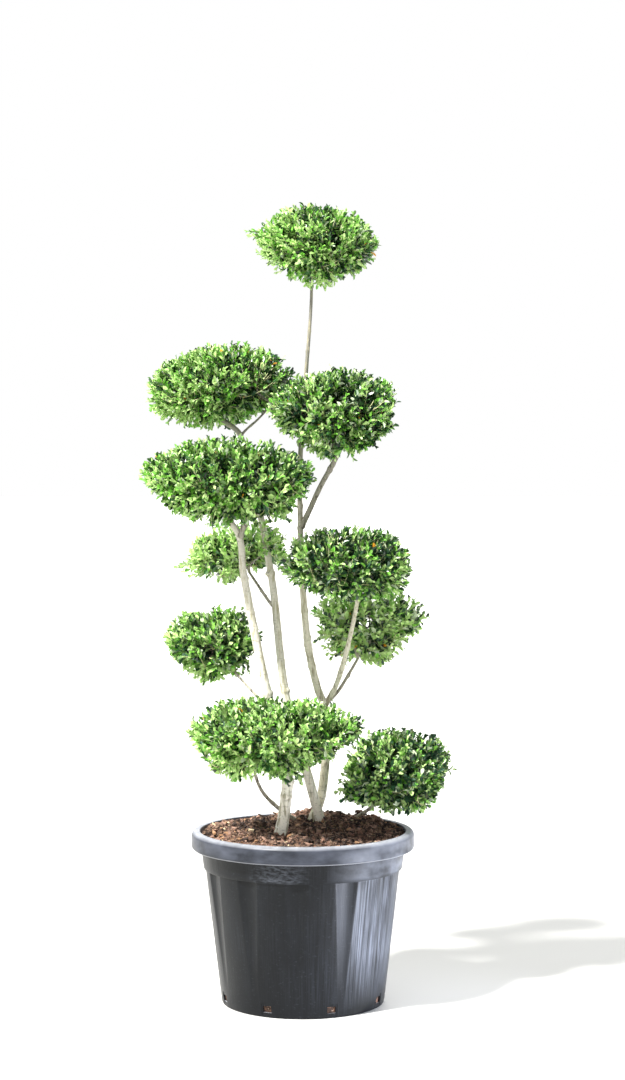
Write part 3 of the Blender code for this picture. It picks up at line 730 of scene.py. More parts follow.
# ---- potting soil ----------------------------------------------------------------
@dataclass
class Soil:
    """The potting mix that fills the tub: an uneven mound, crumbs, chips and fibres.

    clod_sizes_mm holds the pitch and height of each size of clod. Each lump is X, Y and
    height, and the sunken ones lie round the feet of the stems. The clump of orange chips
    is X, Y and reach. Each length or radius is its least value and what chance adds.
    """

    pot: Pot
    edge_height: float = 0.3665
    mound_rise: float = 0.0145
    mound_spread: float = 0.150
    mound_centre: tuple[float, float] = (0.060, 0.100)
    gap: float = 0.0006
    rings: int = 96
    columns: int = 480
    clod_sizes_mm: tuple = ((44.0, 6.0), (21.0, 10.0), (11.0, 10.5), (6.0, 5.5))
    lumps: tuple = (
        (0.082, 0.147, 0.011), (0.139, 0.160, 0.010), (0.038, 0.165, 0.007),
        (-0.151, -0.095, 0.008), (0.032, 0.066, -0.018), (-0.048, -0.066, -0.006),
    )
    lump_spread: float = 0.022
    chips: int = 9500
    chip_length: tuple[float, float] = (0.0026, 0.0098)
    chip_sharp_deg: float = 30.0
    orange_clump: tuple[float, float, float] = (-0.155, -0.090, 0.050)
    fibres: int = 5000
    fibre_length: tuple[float, float] = (0.005, 0.011)
    fibre_radius: tuple[float, float] = (0.00025, 0.0003)
    fibre_lift: float = 0.0014

    def edge_radius(self) -> float:
        """Return the radius of the soil's edge at the pot's inner wall."""
        pot = self.pot
        slope = (pot.mouth_radius - pot.collar_top + pot.wall) / (pot.height - pot.collar_height)
        low = pot.collar_top - pot.wall
        return low + slope * (self.edge_height - pot.collar_height) - self.gap

    def surface(self, x: Array, y: Array) -> Array:
        """Return the soil's height: a Gaussian mound with clods of several sizes.

        The clods fade to level at the pot's wall, so that none stands through it.
        """
        away = np.hypot(x - self.mound_centre[0], y - self.mound_centre[1])
        mound = self.mound_rise * np.exp(-((away / self.mound_spread) ** 2))
        flat = np.stack([x, y, 0.0 * x], axis=-1)
        clods = sum(
            depth * value_noise(flat, size / 1000.0, 11 + number)
            for number, (size, depth) in enumerate(self.clod_sizes_mm)
        )
        for across, back, rise in self.lumps:
            mound = mound + rise * np.exp(-((x - across) ** 2 + (y - back) ** 2) / self.lump_spread**2)
        inside = 1.0 - (np.hypot(x, y) / self.pot.mouth_radius) ** 10
        return self.edge_height + (mound + clods / 1000.0) * np.maximum(inside, 0.0)

    def build_body(self) -> None:
        """Build the closed body of soil, its top made of rings and its wall like the pot's."""
        pot = self.pot
        angle = pot.angles(self.columns)
        top = self.on_top(self.edge_radius() * np.arange(1, self.rings + 1)[:, None] / self.rings, angle)
        levels = np.linspace(pot.flute_top, pot.wall + self.gap, 10)
        levels = np.array([pot.collar_height, *levels])[:, None]
        wall = np.minimum(pot.body_radius(levels), pot.collar_top) - pot.wall - self.gap
        wall[0] = pot.collar_top - pot.wall - self.gap
        wall = wall - pot.flute(angle[None], levels)
        points = np.concatenate([top, around(wall, angle, levels)])
        triangles = closed_wall(len(points), self.columns)[:, ::-1]
        summit = float(self.surface(np.zeros(1), np.zeros(1))[0])
        poles = np.array([[0.0, 0.0, summit], [0.0, 0.0, float(levels[-1, 0])]])
        points = np.concatenate([points.reshape(-1, 3), poles])
        piece = new_piece("soil_body", points, triangles, [POTTING_MIX.make()])
        place(piece, "potting_soil", "soil")

    def on_top(self, radius: Array, angle: Array) -> Array:
        """Return the points on the soil's surface at a radius and an angle."""
        x, y = radius * np.cos(angle), radius * np.sin(angle)
        return np.stack([x, y, self.surface(x, y)], axis=-1)

    def scatter(self, chance: np.random.Generator, count: int) -> Array:
        """Return points spread evenly over the top, clear of the wall."""
        radius = (self.edge_radius() - 0.002) * np.sqrt(chance.random(count))
        return self.on_top(radius, math.tau * chance.random(count))

    def build_chips(self) -> None:
        """Scatter flat bark chips: boxes of uneven corners, half sunk at random tilts."""
        chance, count = np.random.default_rng(SEED + 1), self.chips
        seats = self.scatter(chance, count)
        length = self.chip_length[0] + self.chip_length[1] * chance.random(count) ** 3.0
        shape = np.stack([length, length * 0.46, length * 0.34], axis=-1)
        square = ((-0.5, -0.5), (0.5, -0.5), (0.5, 0.5), (-0.5, 0.5))
        box = np.array([(x, y, z) for z in (-0.5, 0.5) for x, y in square])
        points = box[None] * (0.65 + 0.7 * chance.random((count, 8, 3))) * shape[:, None]
        lift = 0.75 * shape[:, 2] * (0.2 + chance.random(count))
        points = turned(points, self.tilts(chance, count)) + (seats + lift[:, None] * UP)[:, None]
        block = split(((3, 2, 1, 0), (4, 5, 6, 7), (0, 1, 5, 4), (1, 2, 6, 5), (2, 3, 7, 6), (3, 0, 4, 7)))
        kinds = np.repeat(self.kinds(seats, chance), len(block))
        materials = [finish.make() for finish in CHIP_FINISHES]
        points, triangles = points.reshape(-1, 3), copied(block, count, len(box))
        chips = new_piece("soil_chips", points, triangles, materials, kinds, self.chip_sharp_deg)
        place(chips, "potting_soil")
        self.build_fibres(chance, materials)

    def kinds(self, seats: Array, chance: np.random.Generator) -> Array:
        """Deal each chip its finish: orange in a clump at the left, pale where it is dry."""
        count = len(seats)
        across, back, reach = self.orange_clump
        clump = np.hypot(seats[:, 0] - across, seats[:, 1] - back)
        orange = value_noise(seats, 0.060, 5) + 1.4 * np.exp(-((clump / reach) ** 2))
        orange = orange + 0.35 * chance.random(count)
        kind = chance.choice(4, count, p=[0.36, 0.36, 0.25, 0.03])
        kind = np.where((orange > 0.90) & (kind > 0), np.minimum(kind + 1, 3), kind)
        dry = value_noise(seats, 0.038, 6)
        kind = np.where((dry > 0.28) & (kind < 2), kind + 1, kind)
        kind = np.where((dry < -0.24) & ((kind == 1) | (kind == 2)), kind - 1, kind)
        return np.where(chance.random(count) < 0.012, 5, kind)

    def build_fibres(self, chance: np.random.Generator, materials: list) -> None:
        """Scatter short curved fibres that lie on the crumbs."""
        count = self.fibres
        seats = self.scatter(chance, count)
        heading = math.tau * chance.random(count)
        ahead = around(1.0, heading, 0.35 * (chance.random(count) - 0.4))
        side = np.stack([-np.sin(heading), np.cos(heading), 0.0 * heading], axis=-1)
        length = (self.fibre_length[0] + self.fibre_length[1] * chance.random(count))[:, None, None]
        bend = (1.6 * (chance.random(count) - 0.5))[:, None, None]
        t = np.linspace(-0.5, 0.5, 5)[None, :, None]
        curve = t * ahead[:, None] + bend * (t * t) * side[:, None]
        lines = seats[:, None] + self.fibre_lift * UP + length * curve
        girth = self.fibre_radius[0] + self.fibre_radius[1] * chance.random((count, 1))
        points, triangles = tubes(lines, np.array([0.3, 0.8, 1.0, 0.8, 0.3]) * girth, 3)
        kind = chance.choice([0, 1, 2, 4], count, p=[0.25, 0.25, 0.22, 0.28])
        kinds = np.repeat(kind, len(triangles) // count)
        place(new_piece("soil_fibres", points, triangles, materials, kinds), "potting_soil")

    def tilts(self, chance: np.random.Generator, count: int) -> Array:
        """Return a rotation matrix for each chip: any heading, tilted by up to a third."""
        ahead = unit(around(1.0, math.tau * chance.random(count), chance.normal(0.0, 0.35, count)))
        roll = [chance.normal(0.0, 0.35, count), chance.normal(0.0, 0.35, count), np.ones(count)]
        return frames_of(ahead, np.stack(roll, axis=-1))


# ---- limbs -----------------------------------------------------------------------
@dataclass(frozen=True)
class Limb:
    """One tapering stem, bough or shoot, named as its solid is.

    way_mm holds the points that its centre line runs through, in millimetres. foot and tip
    are its diameters there, flare widens the foot by that factor, and rooted ones go down
    into the soil. knots is the number of old pruning scars along it. Each swelling has its
    height as a share of the radius and its reach in metres.
    """

    name: str
    way_mm: tuple
    foot: float
    tip: float
    flare: float = 1.0
    rooted: bool = False
    knots: int = 3
    sides: int = 20
    step: float = 0.0025
    sunk: float = 0.004
    foot_lobes: float = 0.22
    foot_reach: float = 0.013
    fork_swelling: tuple[float, float] = (0.28, 0.011)
    ridges: tuple[float, float] = (0.045, 0.030)
    scar: tuple[float, float] = (0.10, 0.0045)
    scar_face: tuple[float, float] = (0.24, 0.8)

    @property
    def way(self) -> Array:
        """The way points in metres."""
        return np.array(self.way_mm) / 1000.0

    def line(self, soil: Soil) -> Array:
        """Return evenly spread points on the smooth curve through the way points.

        The curve is a Catmull-Rom spline with chord-length knots. A rooted limb starts a
        little under the soil.
        """
        way = self.way
        if self.rooted:
            way[0, 2] = soil.surface(way[0, 0], way[0, 1]) - self.sunk
        way = np.concatenate([[2.0 * way[0] - way[1]], way, [2.0 * way[-1] - way[-2]]])
        spans = np.linalg.norm(np.diff(way, axis=0), axis=1)
        pieces = []
        for number in range(1, len(way) - 2):
            span = spans[number]
            leave = (way[number + 1] - way[number - 1]) * span / (spans[number - 1] + span)
            arrive = (way[number + 2] - way[number]) * span / (span + spans[number + 1])
            steps = max(2, round(span / self.step))
            t = np.arange(steps)[:, None] / steps
            pieces.append(
                way[number] * (2 * t**3 - 3 * t**2 + 1)
                + leave * (t**3 - 2 * t**2 + t)
                + way[number + 1] * (3 * t**2 - 2 * t**3)
                + arrive * (t**3 - t**2)
            )
        return np.concatenate([*pieces, way[-2:-1]])

    def build(self, soil: Soil, material: bpy.types.Material, chance: np.random.Generator) -> None:
        """Build the limb's bark surface.

        The radius tapers evenly and is swollen at the foot, at the fork and at each
        scar by Gaussian bumps. Low ridges run along it, and the foot is lobed.
        """
        line = self.line(soil)
        travelled = np.concatenate([[0.0], np.cumsum(np.linalg.norm(np.diff(line, axis=0), axis=1))])
        share = travelled / travelled[-1]
        radius = 0.5 * (self.foot + (self.tip - self.foot) * share)[:, None]
        angle = (math.tau * np.arange(self.sides) / self.sides)[None]
        along = travelled[:, None]
        if self.rooted:
            lobes = 1.0 + 0.35 * np.cos(3.0 * angle + chance.uniform(0.0, math.tau))
            swelling = self.flare - 1.0 + self.foot_lobes * lobes * self.foot / 0.026
            radius = radius * (1.0 + swelling * np.exp(-along / self.foot_reach))
        else:
            swelling, reach = self.fork_swelling
            radius = radius * (1.0 + swelling * np.exp(-((along / reach) ** 2)))
        wave = np.stack(np.broadcast_arrays(np.cos(angle), np.sin(angle), along * 9.0), axis=-1)
        seed = int(chance.integers(1, 1000))
        (broad, fine), (ring, reach), (boss, width) = self.ridges, self.scar, self.scar_face
        relief = broad * value_noise(wave, 0.9, seed)
        relief = relief + fine * value_noise(wave * [1, 1, 7], 0.45, seed + 1)
        for _ in range(self.knots):
            height = chance.uniform(0.08, 0.94) * travelled[-1]
            facing = chance.uniform(0.0, math.tau)
            turn = np.abs((angle - facing + math.pi) % math.tau - math.pi)
            scar = np.exp(-(((along - height) / reach) ** 2))
            relief = relief + scar * (ring + boss * np.exp(-((turn / width) ** 2)))
        surface = radius * (1.0 + relief)
        points, triangles = tubes(line[None], surface[None], self.sides)
        place(new_piece(self.name + "_bark", points, triangles, [material]), "bark", self.name)


STEMS = (
    Limb(
        "stem_left",
        (
            (-48, -60, 360), (-36, -60, 455), (-34, -57, 500), (-74, -50, 668), (-103, -51, 804),
            (-128, -56, 942), (-136, -64, 1015), (-172, -85, 1071),
        ),
        0.0262, 0.0125, 1.15, True, knots=9, sides=32,
    ),
    Limb(
        "stem_middle",
        (
            (43, 75, 370), (17, 66, 460), (-37, 50, 658), (-72, 70, 936), (-137, 88, 1231),
            (-184, 94, 1272),
        ),
        0.0215, 0.0120, 1.20, True, knots=11, sides=28,
    ),
    Limb(
        "stem_right",
        (
            (20, 101, 370), (42, 97, 442), (51, 66, 618), (31, 56, 681), (11, 46, 774),
            (-2, 35, 928), (-6, 22, 1045), (-6, -3, 1180), (7, -18, 1370), (17, 0, 1504),
            (20, 0, 1607),
        ),
        0.0205, 0.0055, 1.25, True, knots=13, sides=28,
    ),
)

BOUGHS = (
    Limb(
        "bough_middle_left",
        ((-136, -64, 1015), (-125, -72, 1041), (-110, -90, 1078)),
        0.0125, 0.0090,
    ),
    Limb(
        "bough_lower_left",
        ((-69, -51, 640), (-99, -35, 669), (-130, -8, 699), (-164, 28, 732)),
        0.0062, 0.0050,
    ),
    Limb(
        "bough_back_left",
        ((-63, 61, 857), (-73, 66, 866), (-98, 100, 899), (-121, 150, 929)),
        0.0075, 0.0055,
    ),
    Limb(
        "bough_upper_left",
        ((-138, 88, 1233), (-124, 86, 1248), (-100, 83, 1269), (-73, 80, 1298)),
        0.0056, 0.0042,
    ),
    Limb(
        "bough_upper_right",
        ((-4, 24, 1034), (10, 12, 1062), (39, -15, 1125), (65, -38, 1172), (82, -54, 1206)),
        0.0125, 0.0100,
    ),
    Limb(
        "bough_middle_right",
        ((50, 60, 643), (70, 48, 679), (90, 10, 746), (108, -34, 826), (120, -72, 898)),
        0.0115, 0.0085, knots=5,
    ),
    Limb(
        "bough_back_right",
        ((54, 62, 646), (77, 66, 670), (99, 82, 703), (122, 104, 740)),
        0.0080, 0.0062,
    ),
    Limb(
        "shoot_front",
        ((-12, 72, 370), (-54, 34, 416), (-80, 14, 444), (-95, -10, 471), (-110, -50, 523)),
        0.0096, 0.0066, 1.15, True, knots=4,
    ),
    Limb(
        "shoot_lower_right",
        ((115, 130, 365), (131.5, 116.5, 390.5), (158, 90, 414.5), (185, 66, 445)),
        0.0088, 0.0068, 1.15, True,
    ),
)


# ---- foliage ---------------------------------------------------------------------
class Envelope:
    """The surface of a solid foliage mass, as its reach from the middle in each direction.

    Directions are taken in the mass's own stretched space, where its box is a cube, and
    the reach is kept on a grid of latitude and longitude.
    """

    ROWS = 25
    COLUMNS = 48

    def __init__(self, node: bpy.types.Object) -> None:
        """Measure the mass's reach by rays shot at its middle from outside."""
        mesh = node.data
        places = [vertex.co for vertex in mesh.vertices]
        faces = [tuple(face.vertices) for face in mesh.polygons]
        tree = BVHTree.FromPolygons(places, faces)
        corners = np.array([tuple(co) for co in places])
        low, high = corners.min(axis=0), corners.max(axis=0)
        self.centre = 0.5 * (low + high)
        self.half = 0.5 * (high - low)
        self.area = float(sum(face.area for face in mesh.polygons))
        latitude = np.linspace(-0.5 * math.pi, 0.5 * math.pi, self.ROWS)[:, None]
        longitude = np.linspace(-math.pi, math.pi, self.COLUMNS + 1)[None]
        heading = around(np.cos(latitude), longitude, np.sin(latitude))
        self.reach = np.empty(heading.shape[:2])
        for row, column in np.ndindex(*self.reach.shape):
            ray = heading[row, column] * self.half
            outside = self.centre + 2.0 * ray
            hit, _, _, _ = tree.ray_cast(tuple(outside), tuple(-ray))
            found = self.centre if hit is None else np.array(hit)
            self.reach[row, column] = np.linalg.norm(found - self.centre) / np.linalg.norm(ray)

    def stretch(self, heading: Array) -> Array:
        """Return the reach in stretched space for headings of length 1, between grid values."""
        latitude = np.arcsin(np.clip(heading[..., 2], -1.0, 1.0)) / math.pi + 0.5
        longitude = np.arctan2(heading[..., 1], heading[..., 0]) / math.tau + 0.5
        row = latitude * (self.ROWS - 1)
        column = longitude * self.COLUMNS
        r0 = np.clip(row.astype(int), 0, self.ROWS - 2)
        c0 = np.clip(column.astype(int), 0, self.COLUMNS - 1)
        u, v = row - r0, column - c0
        low = self.reach[r0, c0] * (1 - v) + self.reach[r0, c0 + 1] * v
        high = self.reach[r0 + 1, c0] * (1 - v) + self.reach[r0 + 1, c0 + 1] * v
        return low * (1 - u) + high * u

    def surface(self, heading: Array) -> Array:
        """Return the points where the headings leave the mass."""
        return self.centre + heading * self.half * self.stretch(heading)[..., None]

    def depth(self, points: Array) -> Array:
        """Return 0 at the middle, 1 on the surface and more outside."""
        scaled = (points - self.centre) / self.half
        away = np.linalg.norm(scaled, axis=-1)
        return away / self.stretch(scaled / np.maximum(away, TINY)[..., None])

    def outward(self, points: Array) -> Array:
        """Return the outward direction: the slope of depth, by differences of 4 mm."""
        slope = [self.depth(points + step) - self.depth(points - step) for step in 0.004 * np.eye(3)]
        return unit(np.stack(slope, axis=-1))

    def headings(self, count: int, chance: np.random.Generator) -> Array:
        """Return headings spread so that they leave the surface evenly.

        They are a golden-angle spiral on the sphere. Each is kept with a chance in
        proportion to the area that its stretched direction stands for.
        """
        a, b, c = self.half
        most = max(a * b, b * c, a * c)
        tries = int(count * most / ((a * b + b * c + a * c) / 3.0))
        height = 1.0 - 2.0 * (np.arange(tries) + 0.5) / tries
        turn = np.arange(tries) * math.pi * (3.0 - math.sqrt(5.0)) + chance.uniform(0.0, math.tau)
        heading = around(np.sqrt(1.0 - height**2), turn, height)
        heading = unit(heading + chance.normal(0.0, 0.035, heading.shape))
        share = np.linalg.norm(heading * np.array([b * c, a * c, a * b]), axis=-1) / most
        return heading[chance.random(tries) < share]


def cluster(points: Array, count: int, chance: np.random.Generator) -> tuple[Array, Array]:
    """Group points round the nearest of several middles, by six rounds of k-means.

    Args:
        points: (n, 3) places.
        count: how many groups to make.
        chance: the source of the first middles.

    Returns:
        Each point's group, and the groups' middles.
    """
    middles = points[chance.choice(len(points), count, replace=False)]
    for _ in range(6):
        owner = np.argmin(((points[:, None] - middles[None]) ** 2).sum(axis=-1), axis=1)
        number = np.bincount(owner, minlength=count)[:, None]
        sums = np.zeros_like(middles)
        np.add.at(sums, owner, points)
        middles = np.where(number > 0, sums / np.maximum(number, 1), middles)
    return owner, middles


# Lobes and dents of each cloud's outline, in millimetres: X, Z, reach and spread.
LOBES_MM = {
    "cloud_top": (
        (-108, 1677, 16, 22), (-80, 1697, 6, 18), (-95, 1653, -5, 18), (-16, 1727, -6, 22),
        (88, 1717, -7, 26), (153, 1672, -5, 18), (166, 1638, 5, 16), (123, 1583, 8, 26),
        (81, 1558, 9, 22), (34, 1541, 9, 22), (-56, 1578, 6, 20),
    ),
    "cloud_upper_left": (
        (-326, 1374, 10, 30), (-296, 1399, 6, 25), (-342, 1328, -5, 20), (-342, 1298, 14, 18),
        (-311, 1272, 6, 20), (-159, 1434, -6, 24), (-105, 1432, -7, 20), (-32, 1389, 8, 24),
        (-179, 1247, 10, 28), (-123, 1262, 8, 20),
    ),
    "cloud_upper_right": (
        (199, 1338, 12, 16), (196, 1274, -6, 24), (177, 1225, -9, 24), (159, 1196, 9, 18),
        (122, 1186, 8, 22), (93, 1176, 9, 20), (24, 1201, -14, 26), (-30, 1225, 10, 22),
        (-60, 1265, -6, 18), (48, 1370, -4, 20),
    ),
    "cloud_middle_left": (
        (-346, 1156, 8, 20), (-341, 1130, 5, 14), (-324, 1110, -9, 22), (-275, 1063, 9, 20),
        (-314, 1196, -4, 20), (-206, 1225, -4, 24), (-172, 1041, 6, 22), (-64, 1044, 14, 26),
        (-30, 1054, 10, 16), (14, 1112, -14, 26), (-20, 1073, -10, 22), (29, 1152, 5, 14),
        (-54, 1210, 5, 18),
    ),
    "cloud_back_left": (
        (-274, 937, 20, 14), (-218, 911, 10, 26), (-146, 898, 10, 20), (-248, 944, -8, 16),
        (-256, 988, -4, 16), (-100, 919, 14, 18),
    ),
    "cloud_middle_right": (
        (8, 1025, -5, 18), (66, 1039, 5, 18), (126, 1035, -6, 22), (180, 1020, 6, 18),
        (228, 986, -5, 20), (231, 943, -5, 20), (-26, 918, -9, 24), (219, 899, 9, 22),
        (-55, 957, 7, 16),
    ),
    "cloud_back_right": (
        (17, 816, 9, 18), (38, 785, -10, 24), (58, 745, 7, 20), (129, 719, 14, 26), (174, 719, -8, 18),
        (230, 765, -9, 26), (272, 841, 8, 18), (278, 806, 12, 14), (245, 791, -6, 16),
    ),
    "cloud_lower_left": (
        (-296, 814, 8, 16), (-301, 782, 4, 12), (-271, 732, -11, 24), (-241, 702, 7, 24),
        (-204, 697, 6, 20), (-137, 722, 12, 22), (-92, 812, 6, 20),
    ),
    "cloud_front": (
        (-248, 606, 5, 14), (-231, 567, -9, 22), (-210, 528, 11, 22), (-132, 497, 7, 22),
        (-101, 489, 8, 18), (-65, 506, -14, 22), (-147, 671, 6, 28), (75, 654, -8, 24),
        (73, 545, 14, 22), (99, 565, -6, 18), (-11, 509, 10, 18), (30, 523, 10, 16),
    ),
    "cloud_lower_right": (
        (97, 506, -18, 24), (82, 449, 14, 22), (170, 404, -12, 22), (205, 393, 10, 18),
        (257, 401, 11, 22), (284, 404, 8, 14), (302, 456, -9, 18), (332, 496, 10, 12),
        (312, 541, 6, 22),
    ),
}


# The tips of shoots that stand out of a cloud, in millimetres.
STRAYS_MM = {
    "cloud_top": ((-116, 0, 1674), (-109, -20, 1661)),
    "cloud_back_left": (
        (-281, 160, 940), (-270, 170, 948), (-262, 150, 931), (-247, 150, 922), (-76, 30, 1045),
        (-59, 30, 1025), (-42, 30, 1010), (-52, 32, 985), (-68, 30, 1003), (-33, 34, 970),
        (-81, 30, 979),
    ),
    "cloud_lower_left": ((-116, 30, 826), (-118, 10, 788), (-125, 30, 738), (-112, 40, 764)),
    "cloud_middle_left": ((-34, -90, 1054), (-42, -100, 1070)),
    "cloud_front": ((-25, -75, 498), (-13, -80, 507), (-6, -70, 491), (-34, -85, 487)),
    "cloud_back_right": ((33, 100, 781), (46, 110, 793), (60, 120, 770), (273, 120, 830)),
    "cloud_lower_right": (
        (77, 30, 452), (90, 20, 436), (99, 30, 461), (174, 0, 433), (162, 10, 440), (259, 30, 433),
        (272, 40, 440), (328, 50, 498),
    ),
}

# Places where a cloud is thin from front to back, in millimetres: X, Z and spread, then
# the share of its shoots that is missing, in hundredths.
THIN_MM = {
    "cloud_top": ((65, 1588, 14, 60), (-6, 1687, 16, 45)),
    "cloud_upper_left": ((-86, 1275, 22, 55), (-100, 1330, 20, 45)),
    "cloud_upper_right": ((-25, 1223, 22, 60), (58, 1276, 24, 40)),
    "cloud_middle_left": ((-193, 1059, 22, 45), (-66, 1065, 24, 55), (-172, 1120, 24, 40)),
    "cloud_back_left": ((-199, 918, 30, 55), (-93, 932, 24, 65)),
    "cloud_middle_right": ((82, 1007, 12, 70), (124, 919, 11, 75), (58, 967, 20, 35)),
    "cloud_back_right": ((60, 783, 28, 75), (211, 768, 26, 65), (153, 868, 16, 40), (104, 730, 20, 40)),
    "cloud_lower_left": ((-110, 752, 24, 85), (-178, 774, 20, 50)),
    "cloud_front": ((71, 563, 24, 75), (-95, 507, 22, 60), (-117, 546, 20, 40)),
    "cloud_lower_right": (
        (114, 525, 24, 70), (156, 418, 24, 65), (108, 465, 20, 55), (169, 498, 26, 35),
    ),
}


# Hollows on the front where outer shoots are missing, so that the shaded inside shows, in
# millimetres: X, Z and spread.
HOLLOWS_MM = {
    "cloud_top": ((69, 1669, 16), (71, 1642, 16), (92, 1580, 12), (-17, 1674, 10)),
    "cloud_upper_left": ((-159, 1399, 13), (-89, 1358, 24), (-98, 1315, 20), (-228, 1315, 14)),
    "cloud_upper_right": ((85, 1193, 14), (144, 1290, 15), (58, 1222, 16), (0, 1305, 18)),
    "cloud_middle_left": (
        (-58, 1189, 14), (-24, 1115, 14), (-89, 1073, 18), (-186, 1069, 12), (-217, 1120, 14),
    ),
    "cloud_back_left": ((-107, 946, 16), (-101, 975, 14)),
    "cloud_middle_right": ((156, 991, 14), (49, 909, 14), (28, 1006, 12), (22, 942, 14)),
    "cloud_back_right": ((123, 742, 14), (72, 759, 12), (152, 804, 14)),
    "cloud_lower_left": ((-197, 779, 15), (-219, 735, 12), (-152, 733, 13)),
    "cloud_front": ((-127, 552, 18), (-96, 578, 14), (-181, 636, 10)),
    "cloud_lower_right": ((209, 443, 14), (150, 541, 15), (196, 557, 13), (237, 441, 12)),
}


# A leaf's blade, as shares of its length along, across and up: its foot, tip and middle,
# then the points of one edge, and the rim in order of its points with the far edge.
LEAF_MIDRIB = np.array([(0.0, 0.0, 0.0), (1.0, 0.0, -0.08), (0.52, 0.0, -0.01)])
LEAF_EDGE = np.array([(0.22, 0.27, 0.09), (0.56, 0.48, 0.15), (0.86, 0.34, 0.06)])
LEAF_RIM = (0, 6, 7, 8, 1, 5, 4, 3, 0)


@dataclass
class Crown:
    """One clipped cloud: boughs that fork three times, leafy shoots and their leaves.

    name is the solid mass that it fills. roots are the points where limbs enter it, from
    which its boughs grow. density scales the number of shoots, shade makes its leaves darker
    as painted shade, and lighter as painted light where it is below zero, and loose opens
    gaps on its underside. Leaves keep clear_of_root from where a limb comes in from below.
    leaf_width is a share of the leaf's length, mixed scales how much the tints differ from
    leaf to leaf, pale_share of the leaves are pale, showing their undersides and a painted
    whitish sheen of the sky, and cool_share of the old ones are blue-green, a painted
    reflection of the sky on dark glossy leaves. The inner shoots take darker tints as
    painted shade. A proud_share of the shoots have grown up to proud_reach past the clip.
    clip_slack is how far a leaf may stand past it: what every leaf may, and what chance adds.
    """

    name: str
    roots: Array
    seed: int
    density: float
    shade: float
    loose: float
    clear_of_root: float
    leaf_width: float
    mixed: float
    pale_share: float = 0.04
    cool_share: float = 0.16
    gold_share: float = 0.0016
    shoot_spacing: float = 0.0160
    packing: float = 1.155
    shoot_length: tuple[float, float] = (0.038, 0.068)
    shoot_spread: float = 0.26
    stray_length: float = 0.050
    pairs: int = 7
    leafy_length: float = 0.043
    leaf_length: float = 0.0182
    leaf_sharp_deg: float = 24.0
    clip_inset: float = 0.006
    clip_slack: tuple[float, float] = (0.012, 0.009)
    inner_share: float = 0.28
    inner_inset: tuple[float, float] = (0.014, 0.040)
    proud_share: float = 0.09
    proud_reach: float = 0.020
    twig_radius: float = 0.00075
    pipe_power: float = 0.29
    tint_limits: tuple[float, float, float, float] = (-0.32, -0.05, 0.20, 0.46)
    chance: np.random.Generator = field(init=False)
    envelope: Envelope = field(init=False)
    strays: int = field(init=False, default=0)

    def __post_init__(self) -> None:
        """Give the cloud its own seeded source of chance."""
        self.chance = np.random.default_rng(SEED * 100 + self.seed)

    def noise(self, points: Array, pitch: float, number: int) -> Array:
        """Return this cloud's own value noise of that number."""
        return value_noise(points, pitch, self.seed + number)

    def shoots(self) -> tuple[Array, Array, Array]:
        """Place the shoots.

        Their tips lie on the clipped surface, which waves a little, and a share of them
        lies further in. They point outwards and up. Where slow noise is low on the
        underside, shoots are left out, so that gaps open there.

        Returns:
            The tips, the bases, and how far in each shoot is.
        """
        chance, envelope = self.chance, self.envelope
        count = int(self.density * envelope.area / self.shoot_spacing**2 * self.packing)
        heading = envelope.headings(int(count * (1.0 + self.inner_share)), chance)
        inner = chance.random(len(heading)) < self.inner_share / (1.0 + self.inner_share)
        inner = inner.astype(float)
        tips = envelope.surface(heading)
        outward = envelope.outward(tips)
        gaps = self.noise(tips, 0.034, 40) + 0.5 * self.noise(tips, 0.016, 41)
        under = np.clip(-outward[:, 2], 0.0, 1.0)
        from_root = np.linalg.norm(tips[:, None] - self.roots[None], axis=-1).min(axis=1)
        kept = gaps > -0.30 + self.loose * 0.70 * under
        kept &= (from_root > self.clear_of_root) | (under < 0.1)
        kept &= chance.random(len(tips)) > 0.6 * self.thinned(tips)
        kept &= (chance.random(len(tips)) > self.hollowed(tips)) | (inner > 0.5)
        tips, outward, inner, under = tips[kept], outward[kept], inner[kept], under[kept]
        number = len(tips)
        wave = 0.0050 * self.noise(tips, 0.045, 60)
        wave = wave + 0.0075 * self.noise(tips, 0.024, 61) + self.lobed(tips)
        proud = self.proud_reach * (chance.random(number) < self.proud_share)
        proud = proud * chance.random(number) * (outward[:, 2] > -0.5)
        inset = self.clip_inset + chance.uniform(-0.003, 0.004, number) - wave - proud
        inset = inset + inner * chance.uniform(*self.inner_inset, number) + 0.004 * under
        tips = tips - outward * inset[:, None]
        rise = (0.62 - 0.50 * under)[:, None] * UP
        ahead = unit(0.75 * outward + rise + chance.normal(0.0, self.shoot_spread, (number, 3)))
        bases = tips - ahead * chance.uniform(*self.shoot_length, number)[:, None]
        bases = bases + 0.10 * (envelope.centre - bases)
        return self.with_strays(tips, bases, inner)

    def with_strays(self, tips: Array, bases: Array, inner: Array) -> tuple[Array, Array, Array]:
        """Add the shoots that the shears missed, each pointing outwards."""
        ends = 0.001 * np.array(STRAYS_MM.get(self.name, ()), dtype=float).reshape(-1, 3)
        outward = unit(ends - self.envelope.centre + self.chance.normal(0.0, 0.02, ends.shape))
        self.strays = len(ends)
        tips = np.concatenate([tips, ends])
        bases = np.concatenate([bases, ends - self.stray_length * outward])
        return tips, bases, np.concatenate([inner, np.zeros(len(ends))])

    def thinned(self, points: Array) -> Array:
        """Return the share of shoots missing at each place: the most of its thin zones."""
        share = np.zeros(len(points))
        for across, height, spread, percent in THIN_MM[self.name]:
            away = np.hypot(points[:, 0] * 1000.0 - across, points[:, 2] * 1000.0 - height)
            share = np.maximum(share, 0.01 * percent * np.exp(-((away / spread) ** 2)))
        return share

